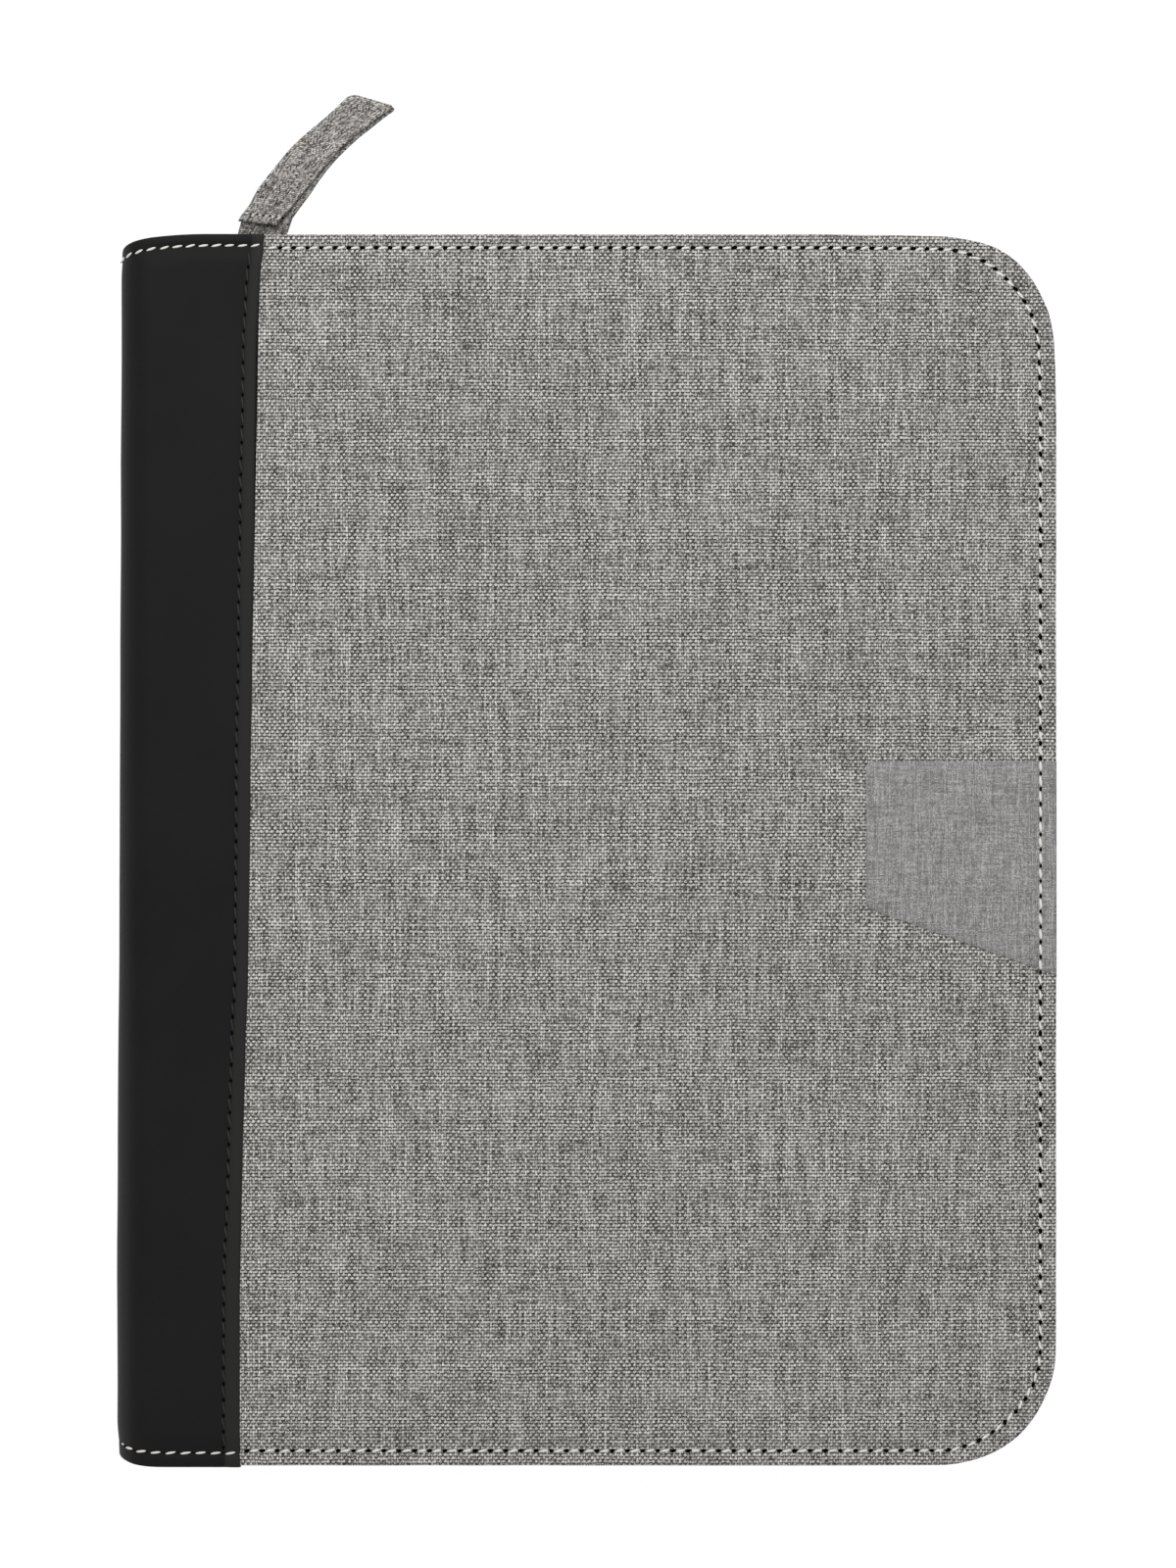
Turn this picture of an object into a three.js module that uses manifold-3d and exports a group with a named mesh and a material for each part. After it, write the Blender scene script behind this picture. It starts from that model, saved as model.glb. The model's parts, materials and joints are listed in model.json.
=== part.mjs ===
// Zip-round planner lying closed on its back cover: two padded covers and a spine that fold open,
// a moulded-tooth zip with its slider and fabric pull, and a ring mechanism that holds the pages.
// Millimetres, +Z up, +X from the spine to the opening edge, +Y to the head of the planner.
// The origin is the middle of the back cover's outer face.
import * as THREE from 'three';
import { mergeVertices } from 'three/addons/utils/BufferGeometryUtils.js';
import Module from 'manifold-3d';

const wasm = await Module();
wasm.setup();

// Case
const caseWidth = 258.6;
const caseHeight = 340;
const caseThickness = 38;
const cornerRadius = 32.5;
const cornerSteps = 8; // facets round each big corner
const clearance = 0.3; // between pieces that are cut by or slide past each other

// Cover layers, from the outside in
const shellThickness = 1.6; // woven fabric with its backing
const foamThickness = 1.2;
const boardThickness = 2.0;
const liningThickness = 0.5;
const liningTurn = 0.7; // lining past the board's spine edge
const hemWidth = 6; // flat sewn edge
const hemDrop = 1.2; // how far the sewn edge lies below the padded face
const slopeWidth = 2.5;
const padInset = 9; // edge of foam and board, from the case edge

// Spine
const foldRadius = 9; // outer radius of the spine folds
const wrapThickness = 1.6; // black coated sheet on its backing
const seamFromEdge = 36.7; // black strip on each cover, from the spine face
const seamSlant = 6.5; // how much wider the strip is at the head than at the foot
const spineBoardThickness = 1.5;
const spineEndInset = 2;

// Applied patch on the front, at the opening edge
const patchThickness = 0.5;
const patchWidth = 52.6;
const patchTop = 24.5;
const patchShortSide = 40.5;
const patchSlant = 19.5; // degrees, lower edge
const patchCorner = 2;

// Zip
const wallInset = 6; // outer face of the zip wall, from the case edge
const tapeThickness = 0.6;
const flangeInset = 1.5; // sewn edge of the tape under the hem
const tapePastFold = 2; // tape that runs on past the cover's fold line
const beadThickness = 2.2;
const beadHeight = 1.0;
const chainHalfHeight = 3.0; // middle of the zip to the tape's edge
const toothPitch = 5.0;
const toothWidth = 2.0;
const toothMesh = 0.7; // how far a tooth reaches past the middle of the zip
const rowStartFromSpine = 24.3; // case edge to the rows' start at the head
const firstTooth = 8.5; // from the row's start to its first tooth
const rowEndFromSpine = 11.3;
const stopLength = 2.6;
const stopWall = 0.5;

// Slider and pull
const sliderFromSpine = 34.3; // case edge to the middle of the parked slider
const sliderLength = 16;
const sliderWidth = 11;
const sliderPlate = 1.3;
const sliderGroove = 2.8; // space between its two plates
const slotClearance = 0.3; // tape in the slider's slots
const postLength = 4;
const bridgeHeight = 2.9;
const bridgeThickness = 1.2;
const bridgeWidth = 2.4;
const linkWire = 1.2;
const linkWidth = 7.2;
const linkReach = 5.4;
const tabWidth = 11.2;
const tabLength = 51.2;
const tabThickness = 2.6;
const tabLean = 40; // degrees from +Y towards +X, from the pivot to the tab's end
const tabBow = 2.5; // of the hanging tab, towards the spine

// Ring mechanism
const ringFromSpine = 21.3; // case edge to the middle of the mechanism
const plateToEdge = 27.5; // end of the plate to the head and foot of the case
const plateHalfWidth = 10;
const plateHeight = 6;
const plateWall = 1.2;
const ringPitch = 108;
const ringWire = 3;
const ringHeight = 23.2; // lining to the middle of the wire at the top
const postOffset = 7; // ring foot from the middle of the plate
const ringBend = 6;
const ringBulge = 4.4; // how far the spine-side halves swell past their feet
const bladeThickness = 0.8;
const bladeRise = 0.9; // lining to blade
const bladeEndGap = 5;
const leverWidth = 10;
const leverThickness = 1.6;
const leverHeight = 12;
const leverFlare = 4.5;
const rivetShank = 2;
const rivetHead = 3.6;
const rivetHeadHeight = 1.0;
const rivetFromEnd = 17.5;

// Pages
const pageToLoop = 1.7; // pages to the pen loop
const pageToEdge = 30.3; // pages to the head and foot of the case
const pageStack = 9;
const holeRadius = 3.5;
const holeFromEdge = 8;

// Pockets and pen loop
const pocketSheet = 0.5;
const pocketGap = 0.4;
const pocketHem = 4;
const slipEdge = 2; // pocket to the edge of the padding
const slipWidth = 196;
const slipHeight = 190;
const slipSlant = 34;
const cardInset = 13; // from the slip pocket's corner
const cardWidth = 94;
const cardHeight = 88;
const cardStep = 17;
const cardSlots = ['rear', 'middle', 'front'];
const loopLength = 42;
const loopOuter = 6;
const loopSheet = 1;

// Worked out from the sizes above
const top = caseThickness;
const middle = caseThickness / 2;
const halfWidth = caseWidth / 2;
const halfHeight = caseHeight / 2;
const crownInset = hemWidth + slopeWidth;
const underShell = top - shellThickness;
const underFoam = underShell - foamThickness;
const underBoard = underFoam - boardThickness;
const innerFace = underBoard - liningThickness;
const floorFace = top - innerFace; // inner face of the back cover
const foldX = -halfWidth + foldRadius;
const seamX = -halfWidth + seamFromEdge;
const padLeft = foldX + 0.8;
const wallMiddle = wallInset + tapeThickness / 2;
const flangeTop = underShell - hemDrop;
const tapeEnd = foldX - tapePastFold;
const rowStartX = -halfWidth + rowStartFromSpine;
const rowEndX = -halfWidth + rowEndFromSpine;
const sliderX = -halfWidth + sliderFromSpine;
const ringX = -halfWidth + ringFromSpine;
const plateLength = caseHeight - 2 * plateToEdge;
const pageHeight = caseHeight - 2 * pageToEdge;
const loopX = halfWidth - wallInset - tapeThickness - clearance - loopOuter - 0.5;

const colours = {
  heather: 0x928f8c, coated: 0x242223, foam: 0x3a3a3c, board: 0x8a7c66, lining: 0x2b2b2e,
  tape: 0x1d1d1f, tooth: 0x1a1a1c, metal: 0xb9bbbd, paper: 0xf3f1ea, patch: 0x8a8987,
};

function material(colour, roughness, metalness = 0) {
  return new THREE.MeshStandardMaterial({ color: colours[colour], roughness, metalness });
}

const planner = new THREE.Group();

function addPiece(name, geometry, look) {
  const mesh = new THREE.Mesh(geometry, look);
  mesh.name = name;
  planner.add(mesh);
}

function toSolid(geometry) {
  const bare = geometry.clone();
  bare.deleteAttribute('normal');
  bare.deleteAttribute('uv');
  const merged = mergeVertices(bare, 1e-4);
  const vertProperties = new Float32Array(merged.attributes.position.array);
  const triVerts = new Uint32Array(merged.index.array);
  return new wasm.Manifold(new wasm.Mesh({ numProp: 3, vertProperties, triVerts }));
}

function fromSolid(solid) {
  const mesh = solid.getMesh();
  const geometry = new THREE.BufferGeometry();
  geometry.setAttribute('position', new THREE.BufferAttribute(mesh.vertProperties, 3));
  geometry.setIndex(new THREE.BufferAttribute(mesh.triVerts, 1));
  return geometry;
}

function fused(...geometries) {
  const solids = geometries.map(toSolid);
  return fromSolid(solids.reduce((whole, next) => whole.add(next)));
}

function cut(geometry, ...tools) {
  return fromSolid(tools.map(toSolid).reduce((whole, tool) => whole.subtract(tool), toSolid(geometry)));
}

function boxBetween(x0, x1, y0, y1, z0, z1) {
  const box = new THREE.BoxGeometry(x1 - x0, y1 - y0, z1 - z0);
  return box.translate((x0 + x1) / 2, (y0 + y1) / 2, (z0 + z1) / 2);
}

function uprightCylinder(radius, x, y, z0, z1, sides = 16) {
  const cylinder = new THREE.CylinderGeometry(radius, radius, z1 - z0, sides);
  return cylinder.rotateX(Math.PI / 2).translate(x, y, (z0 + z1) / 2);
}

// A shape drawn in X and Z, run along Y from y0 to y1
function runAlongY(shape, y0, y1, curveSegments = 8) {
  const geometry = new THREE.ExtrudeGeometry(shape, { depth: y1 - y0, bevelEnabled: false, curveSegments });
  return geometry.rotateX(Math.PI / 2).translate(0, y1, 0);
}

function runUp(shape, z0, z1, curveSegments = 8) {
  const geometry = new THREE.ExtrudeGeometry(shape, { depth: z1 - z0, bevelEnabled: false, curveSegments });
  return geometry.translate(0, 0, z0);
}

function polygon(points) {
  return new THREE.Shape(points.map(([x, y]) => new THREE.Vector2(x, y)));
}

// The same piece for the back cover: turned over the middle of the case
function forBack(geometry) {
  const copy = geometry.clone().scale(1, 1, -1).translate(0, 0, caseThickness);
  if (!copy.index) {
    copy.setIndex([...Array(copy.attributes.position.count).keys()]);
  }
  const index = copy.index.array;
  for (let i = 0; i < index.length; i += 3) {
    [index[i], index[i + 1]] = [index[i + 1], index[i]];
  }
  copy.deleteAttribute('normal');
  return copy;
}

// Height below the padded face at a distance from the case edge
function edgeDrop(distance) {
  return hemDrop * THREE.MathUtils.clamp((crownInset - distance) / slopeWidth, 0, 1);
}

// A ring of points an inset inside the case edge, from x = left to the rounded opening side,
// or to a straight edge at x = right. The seam, at the right edge or else at the left one,
// leans by slant over the case's height. Each point lies at level, less the sewn edge's drop.
function coverRing(inset, left, level, slant = 0, right = null) {
  const points = [];
  const high = halfHeight - inset;
  const shoulder = Math.min(halfHeight - hemWidth, high - 0.1);
  const crown = Math.min(halfHeight - crownInset, shoulder - 0.1);
  const add = (x, y, distance) => points.push([x, y, level - edgeDrop(distance)]);
  const steps = [high, shoulder, crown, -crown, -shoulder, -high];
  const edge = (x, list, lean) => {
    list.forEach((y) => add(x + lean * y / caseHeight, y, halfHeight - Math.abs(y)));
  };
  if (right === null) {
    const radius = cornerRadius - inset;
    const x = halfWidth - cornerRadius;
    const y = halfHeight - cornerRadius;
    for (const [cy, from] of [[-y, -Math.PI / 2], [y, 0]]) {
      for (let i = 0; i <= cornerSteps; i += 1) {
        const angle = from + i * Math.PI / 2 / cornerSteps;
        add(x + radius * Math.cos(angle), cy + radius * Math.sin(angle), inset);
      }
    }
  } else {
    edge(right, [...steps].reverse(), slant);
  }
  edge(left, steps, right === null ? slant : 0);
  return points;
}

// Joins rings of equally many points into one closed skin, capped at the first and the last
function loft(rings) {
  const count = rings[0].length;
  const position = rings.flat(2);
  const index = [];
  for (let r = 0; r + 1 < rings.length; r += 1) {
    for (let i = 0; i < count; i += 1) {
      const a = r * count + i;
      const b = r * count + (i + 1) % count;
      index.push(a, b, b + count, a, b + count, a + count);
    }
  }
  const cap = (ring, offset, up) => {
    const flat = ring.map(([x, y]) => new THREE.Vector2(x, y));
    for (const [a, b, c] of THREE.ShapeUtils.triangulateShape(flat, [])) {
      index.push(...(up ? [a, b, c] : [a, c, b]).map((i) => i + offset));
    }
  };
  cap(rings[0], 0, false);
  cap(rings.at(-1), (rings.length - 1) * count, true);
  const geometry = new THREE.BufferGeometry();
  geometry.setAttribute('position', new THREE.Float32BufferAttribute(position, 3));
  geometry.setIndex(index);
  return geometry;
}

// A cover sheet whose edge steps down to the sewn hem
function coverSheet(low, high, left, right = null) {
  const tuck = right === null ? 0.3 : 0.15;
  const ring = (inset, level, step) => {
    const far = right === null ? null : right - step * tuck;
    return coverRing(inset, left + step * tuck, level, seamSlant, far);
  };
  return loft([
    ring(crownInset, low, 2), ring(hemWidth, low, 1), ring(0, low, 0),
    ring(0, high, 0), ring(hemWidth, high, 1), ring(crownInset, high, 2),
  ]);
}

// Outline of a pad that lies inside the covers
function padShape(inset, left) {
  const shape = new THREE.Shape();
  const radius = cornerRadius - inset;
  const high = halfHeight - inset;
  shape.moveTo(left, -high);
  shape.lineTo(halfWidth - cornerRadius, -high);
  shape.absarc(halfWidth - cornerRadius, -halfHeight + cornerRadius, radius, -Math.PI / 2, 0);
  shape.absarc(halfWidth - cornerRadius, halfHeight - cornerRadius, radius, 0, Math.PI / 2);
  shape.lineTo(left, high);
  return shape;
}

// Rim path

// The zip's path follows the case edge from the head, round the opening side, to the foot.
// rimPoint gives the place on it at a distance along the wall's middle line, at another inset.
const rimTurn = cornerRadius - wallMiddle;
const rimArc = rimTurn * Math.PI / 2;
const rimSide = caseHeight - 2 * cornerRadius;

function rimLength(startX, endX) {
  const straight = halfWidth - cornerRadius;
  return (straight - startX) + rimArc + rimSide + rimArc + (straight - endX);
}

function rimPoint(distance, inset, startX) {
  const cornerX = halfWidth - cornerRadius;
  const cornerY = halfHeight - cornerRadius;
  const radius = cornerRadius - inset;
  let left = distance;
  if (left <= cornerX - startX) {
    return [startX + left, halfHeight - inset];
  }
  left -= cornerX - startX;
  if (left <= rimArc) {
    const angle = Math.PI / 2 - left / rimTurn;
    return [cornerX + radius * Math.cos(angle), cornerY + radius * Math.sin(angle)];
  }
  left -= rimArc;
  if (left <= rimSide) {
    return [halfWidth - inset, cornerY - left];
  }
  left -= rimSide;
  if (left <= rimArc) {
    const angle = -left / rimTurn;
    return [cornerX + radius * Math.cos(angle), -cornerY + radius * Math.sin(angle)];
  }
  left -= rimArc;
  return [cornerX - left, -halfHeight + inset];
}

// A section of [inset, z] corners, swept along the zip's path
function rimSweep(section, startX, endX) {
  const whole = rimLength(startX, endX);
  const toCorner = halfWidth - cornerRadius - startX;
  const stations = [0];
  for (const start of [toCorner, toCorner + rimArc + rimSide]) {
    for (let i = 0; i <= cornerSteps; i += 1) {
      stations.push(start + i * rimArc / cornerSteps);
    }
  }
  stations.push(whole);
  const count = section.length;
  const position = [];
  for (const station of stations) {
    for (const [inset, z] of section) {
      position.push(...rimPoint(station, inset, startX), z);
    }
  }
  const index = [];
  for (let s = 0; s + 1 < stations.length; s += 1) {
    for (let i = 0; i < count; i += 1) {
      const a = s * count + i;
      const b = s * count + (i + 1) % count;
      index.push(a, b + count, b, a, a + count, b + count);
    }
  }
  const flat = section.map(([inset, z]) => new THREE.Vector2(inset, z));
  const last = (stations.length - 1) * count;
  for (const [a, b, c] of THREE.ShapeUtils.triangulateShape(flat, [])) {
    index.push(a, b, c, a + last, c + last, b + last);
  }
  const geometry = new THREE.BufferGeometry();
  geometry.setAttribute('position', new THREE.Float32BufferAttribute(position, 3));
  geometry.setIndex(index);
  return geometry;
}

// One row of teeth on its bead, as columns of corners along the zip's path
function toothRow(startX, endX, firstAt) {
  const outer = wallMiddle - beadThickness / 2;
  const inner = wallMiddle + beadThickness / 2;
  const beadTop = middle + chainHalfHeight;
  const beadLow = beadTop - beadHeight;
  const toothLow = middle - toothMesh;
  const position = [];
  const index = [];
  const corner = (distance, inset, z) => {
    position.push(...rimPoint(distance, inset, startX), z);
    return position.length / 3 - 1;
  };
  const face = (a, b, c, d) => index.push(a, c, b, a, d, c);
  const column = (distance, toothed) => ({
    outTop: corner(distance, outer, beadTop),
    inTop: corner(distance, inner, beadTop),
    outLow: corner(distance, outer, beadLow),
    inLow: corner(distance, inner, beadLow),
    outTip: toothed ? corner(distance, outer, toothLow) : null,
    inTip: toothed ? corner(distance, inner, toothLow) : null,
  });
  const whole = rimLength(startX, endX);
  const columns = [column(0, false)];
  for (let at = firstAt; at + toothWidth < whole - stopLength; at += toothPitch) {
    columns.push(column(at, true), column(at + toothWidth, true));
  }
  columns.push(column(whole, false));
  for (let i = 0; i + 1 < columns.length; i += 1) {
    const a = columns[i];
    const b = columns[i + 1];
    face(a.outLow, b.outLow, b.outTop, a.outTop);
    face(a.inLow, a.inTop, b.inTop, b.inLow);
    face(a.outTop, b.outTop, b.inTop, a.inTop);
    if (i % 2 === 1) {
      face(a.outTip, b.outTip, b.outLow, a.outLow);
      face(a.inTip, a.inLow, b.inLow, b.inTip);
      face(a.outTip, a.inTip, b.inTip, b.outTip);
      face(a.outTip, a.outLow, a.inLow, a.inTip);
      face(b.outTip, b.inTip, b.inLow, b.outLow);
    } else {
      face(a.outLow, a.inLow, b.inLow, b.outLow);
    }
  }
  const first = columns[0];
  const last = columns.at(-1);
  face(first.outLow, first.outTop, first.inTop, first.inLow);
  face(last.outLow, last.inLow, last.inTop, last.outTop);
  const geometry = new THREE.BufferGeometry();
  geometry.setAttribute('position', new THREE.Float32BufferAttribute(position, 3));
  geometry.setIndex(index);
  return geometry;
}

// Covers

function coverPad(inset, low, high) {
  return runUp(padShape(inset, padLeft), low, high, 6);
}

// The lining turns up round the board's edge and ends against the zip wall
function coverLining() {
  const edge = wallInset + tapeThickness + clearance;
  const hemUnder = flangeTop - tapeThickness;
  const ring = (inset, z, outside) => coverRing(inset, padLeft - outside, 0).map(([x, y]) => [x, y, z]);
  return loft([
    ring(padInset, innerFace, liningTurn / 2), ring(edge, hemUnder - liningThickness, liningTurn),
    ring(edge, hemUnder, liningTurn), ring(padInset - clearance, underBoard, liningTurn / 6),
  ]);
}

function frontPatch() {
  const left = halfWidth - patchWidth;
  const right = halfWidth + 1;
  const slant = Math.tan(THREE.MathUtils.degToRad(patchSlant));
  const low = patchTop - patchShortSide;
  const shape = new THREE.Shape();
  shape.moveTo(right, patchTop);
  shape.lineTo(left + patchCorner, patchTop);
  shape.absarc(left + patchCorner, patchTop - patchCorner, patchCorner, Math.PI / 2, Math.PI);
  shape.lineTo(left, low + patchCorner);
  shape.absarc(left + patchCorner, low + patchCorner, patchCorner, Math.PI, Math.PI * 1.4);
  shape.lineTo(right, low - (right - left) * slant);
  const outline = toSolid(runUp(shape, top - hemDrop - 1, top + patchThickness + 1, 4));
  const skin = toSolid(coverSheet(top, top + patchThickness, seamX));
  return fromSolid(skin.intersect(outline));
}

const fabric = material('heather', 0.92);
const coated = material('coated', 0.6);
const foam = material('foam', 0.95);
const greyboard = material('board', 0.9);
const liningCloth = material('lining', 0.85);

const liningSheet = coverLining();
const rivetPlaces = [1, -1].map((end) => end * (plateLength / 2 - rivetFromEnd));
const rivetHoles = rivetPlaces.map((y) => {
  return uprightCylinder(rivetShank + clearance, ringX, y, -1, floorFace + 1);
});

addPiece('front_shell', coverSheet(underShell, top, seamX), fabric);
addPiece('front_patch', frontPatch(), material('patch', 0.85));
addPiece('spine_wrap_front', coverSheet(underShell, top, foldX, seamX - clearance), coated);
addPiece('front_foam', coverPad(padInset, underFoam, underShell), foam);
addPiece('front_board', coverPad(padInset, underBoard, underFoam), greyboard);
addPiece('front_lining', liningSheet, liningCloth);

addPiece('back_shell', forBack(coverSheet(underShell, top, seamX)), fabric);
addPiece('spine_wrap_back', forBack(coverSheet(underShell, top, foldX, seamX - clearance)), coated);
addPiece('back_foam', forBack(coverPad(padInset, underFoam, underShell)), foam);
const backBoard = forBack(coverPad(padInset, underBoard, underFoam));
addPiece('back_board', cut(backBoard, ...rivetHoles), greyboard);
addPiece('back_lining', cut(forBack(liningSheet), ...rivetHoles), liningCloth);

// Spine: a stiff panel between two soft folds

const foldTop = top - foldRadius;
const spineFace = -halfWidth + wrapThickness;
const spineEnd = halfHeight - spineEndInset;

function spineFold() {
  const shape = new THREE.Shape();
  shape.moveTo(foldX - clearance, top);
  shape.absarc(foldX - clearance, foldTop + clearance, foldRadius - clearance, Math.PI / 2, Math.PI);
  shape.lineTo(spineFace, foldTop + clearance);
  const inside = foldRadius - clearance - wrapThickness;
  shape.absarc(foldX - clearance, foldTop + clearance, inside, Math.PI, Math.PI / 2, true);
  return runAlongY(shape, -spineEnd, spineEnd, 6);
}

const spineLow = caseThickness - foldTop;
const boardFace = spineFace + spineBoardThickness;
const boardEnd = spineEnd - hemWidth;
addPiece('spine_fold_front', spineFold(), coated);
addPiece('spine_fold_back', forBack(spineFold()), coated);
addPiece('spine_panel', boxBetween(-halfWidth, spineFace, -spineEnd, spineEnd, spineLow, foldTop), coated);
addPiece('spine_board', boxBetween(spineFace, boardFace, -boardEnd, boardEnd, spineLow + 1, foldTop - 1),
  greyboard);
addPiece('spine_lining', boxBetween(boardFace, boardFace + liningThickness, -spineEnd, spineEnd,
  spineLow, foldTop), liningCloth);

// Zip

const tapeCloth = material('tape', 0.9);
const moulded = material('tooth', 0.45);
const nickel = material('metal', 0.3, 1);

// Past the rows' ends the bare tapes meet at the middle of the zip
function zipTape() {
  const wallIn = wallInset + tapeThickness;
  const low = middle + chainHalfHeight;
  const sweep = rimSweep([
    [flangeInset, flangeTop], [flangeInset, flangeTop - tapeThickness],
    [wallInset, flangeTop - tapeThickness], [wallInset, low], [wallIn, low], [wallIn, flangeTop],
  ], tapeEnd, tapeEnd);
  const ends = [[rowStartX, 1], [rowEndX, -1]].map(([x, side]) => {
    const faces = [side * (halfHeight - wallIn), side * (halfHeight - wallInset)];
    return boxBetween(tapeEnd, x - stopLength - 1, Math.min(...faces), Math.max(...faces),
      middle + clearance / 2, low + 1);
  });
  return fused(sweep, ...ends);
}

// A small metal clip over a row's end, astride the tape's edge and against the bead
function rowStop(x, side) {
  const halfSpan = beadThickness / 2 + stopWall;
  const y = side * (halfHeight - wallMiddle);
  const low = middle + chainHalfHeight - beadHeight;
  const body = boxBetween(x - stopLength, x, y - halfSpan, y + halfSpan, low, low + 2.4);
  const halfSlot = tapeThickness / 2 + clearance;
  const slot = boxBetween(x - stopLength - 1, x + 1, y - halfSlot, y + halfSlot, low + beadHeight - 0.05,
    low + 4);
  return cut(body, slot);
}

const frontRow = toothRow(rowStartX, rowEndX, firstTooth);
const backRow = toothRow(rowStartX, rowEndX, firstTooth + toothPitch / 2);
addPiece('zip_tape_front', zipTape(), tapeCloth);
addPiece('zip_tape_back', forBack(zipTape()), tapeCloth);
addPiece('zip_teeth_front', frontRow, moulded);
addPiece('zip_teeth_back', forBack(backRow), moulded);
for (const [end, x, side] of [['head', rowStartX - 0.05, 1], ['foot', rowEndX - 0.05, -1]]) {
  addPiece(`zip_stop_front_${end}`, rowStop(x, side), nickel);
  addPiece(`zip_stop_back_${end}`, forBack(rowStop(x, side)), nickel);
}

// Slider: two plates joined by a post at the parting end, with lips that hold the tapes' edges

const wallY = halfHeight - wallMiddle;
const outerPlate = wallY + sliderGroove / 2;
const innerPlate = wallY - sliderGroove / 2;
const halfLength = sliderLength / 2;
const halfSlider = sliderWidth / 2;
const bridgeTop = outerPlate + sliderPlate + bridgeHeight;

function sliderOutline() {
  const narrow = halfSlider - 0.9;
  const shape = new THREE.Shape();
  shape.moveTo(-halfLength, -halfSlider + 1.2);
  shape.quadraticCurveTo(-halfLength, -halfSlider, -halfLength + 1.6, -halfSlider);
  shape.lineTo(-1, -halfSlider);
  shape.quadraticCurveTo(2, -halfSlider, 4, -narrow);
  shape.lineTo(halfLength, -narrow);
  shape.lineTo(halfLength, narrow);
  shape.lineTo(4, narrow);
  shape.quadraticCurveTo(2, halfSlider, -1, halfSlider);
  shape.lineTo(-halfLength + 1.6, halfSlider);
  shape.quadraticCurveTo(-halfLength, halfSlider, -halfLength, halfSlider - 1.2);
  return shape;
}

function sliderBody() {
  const place = (geometry) => geometry.translate(sliderX, 0, middle);
  const lipDepth = sliderGroove / 2 - tapeThickness / 2 - slotClearance;
  const parts = [
    runAlongY(sliderOutline(), outerPlate, outerPlate + sliderPlate, 4),
    runAlongY(sliderOutline(), innerPlate - sliderPlate, innerPlate, 4),
  ];
  const reach = -halfLength + 1;
  const diamond = polygon([
    [reach, 0], [reach + postLength / 2, -1.5], [reach + postLength, 0], [reach + postLength / 2, 1.5],
  ]);
  parts.push(runAlongY(diamond, innerPlate - 0.2, outerPlate + 0.2));
  const narrow = halfSlider - 0.9;
  for (const side of [-1, 1]) {
    const from = side > 0 ? narrow - 0.9 : -narrow;
    const lips = [[innerPlate - 0.2, innerPlate + lipDepth], [outerPlate - lipDepth, outerPlate + 0.2]];
    for (const [y0, y1] of lips) {
      parts.push(boxBetween(-halfLength + 2, halfLength, y0, y1, from, from + 0.9));
    }
  }
  const legs = bridgeThickness + 0.4;
  const face = outerPlate + sliderPlate;
  const arch = new THREE.Shape();
  arch.moveTo(-5.4, face - 0.2);
  arch.lineTo(-5.2, bridgeTop - 1.4);
  arch.quadraticCurveTo(-5, bridgeTop, -3.4, bridgeTop);
  arch.lineTo(3.4, bridgeTop);
  arch.quadraticCurveTo(5, bridgeTop, 5.2, bridgeTop - 1.4);
  arch.lineTo(5.4, face - 0.2);
  arch.lineTo(5.4 - legs, face - 0.2);
  arch.lineTo(5.2 - legs, bridgeTop - bridgeThickness);
  arch.lineTo(-5.2 + legs, bridgeTop - bridgeThickness);
  arch.lineTo(-5.4 + legs, face - 0.2);
  parts.push(runUp(arch, -bridgeWidth / 2, bridgeWidth / 2, 4));
  return place(fused(...parts));
}

// Pull: a wire link through the bridge, and the folded fabric tab on the link

const pivotY = outerPlate + sliderPlate + (bridgeHeight - bridgeThickness) / 2;
const lean = THREE.MathUtils.degToRad(tabLean);

// Places a geometry drawn with the pull standing along +Y from its pivot
function onPull(geometry) {
  return geometry.rotateZ(-lean).translate(sliderX, pivotY, middle);
}

function pullLink() {
  const half = linkWidth / 2;
  const wire = linkWire / 2;
  return onPull(cut(
    boxBetween(-wire, wire, -wire, linkReach + wire, -half, half),
    boxBetween(-linkWire, linkWire, wire, linkReach - wire, -half + linkWire, half - linkWire),
  ));
}

function pullTab() {
  const half = tabWidth / 2;
  const start = linkReach - 2;
  const end = start + tabLength;
  const bow = (t) => -tabBow * Math.sin(Math.PI * t);
  const shape = new THREE.Shape();
  const steps = 8;
  shape.moveTo(-half * 0.8, start);
  for (let i = 1; i < steps; i += 1) {
    shape.lineTo(half + bow(i / steps), start + tabLength * i / steps);
  }
  shape.absarc(half - 1.5, end - 1.5, 1.5, 0, Math.PI / 2);
  shape.absarc(-half + 1.5, end - 1.5, 1.5, Math.PI / 2, Math.PI);
  for (let i = steps - 1; i > 0; i -= 1) {
    shape.lineTo(-half + bow(i / steps), start + tabLength * i / steps);
  }
  const strip = runUp(shape, -tabThickness / 2, tabThickness / 2, 4);
  const reach = linkWire / 2 + clearance;
  const eye = boxBetween(-reach, reach, linkReach - reach, linkReach + reach, -tabThickness, tabThickness);
  return onPull(cut(strip, eye));
}

addPiece('slider_body', sliderBody(), nickel);
addPiece('pull_link', pullLink(), nickel);
addPiece('pull_tab', pullTab(), fabric);

// Ring mechanism on the back cover

const bladeLow = floorFace + bladeRise;
const bladeTop = bladeLow + bladeThickness;
const bladeOuter = postOffset + 0.9; // from the middle of the plate to the blades' pivot edges
const bladeEnd = plateLength / 2 - bladeEndGap;
const ringTop = floorFace + ringHeight;
const ringPlaces = [1, 0, -1].map((n) => n * ringPitch);
const footZ = bladeTop + 0.05;

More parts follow.
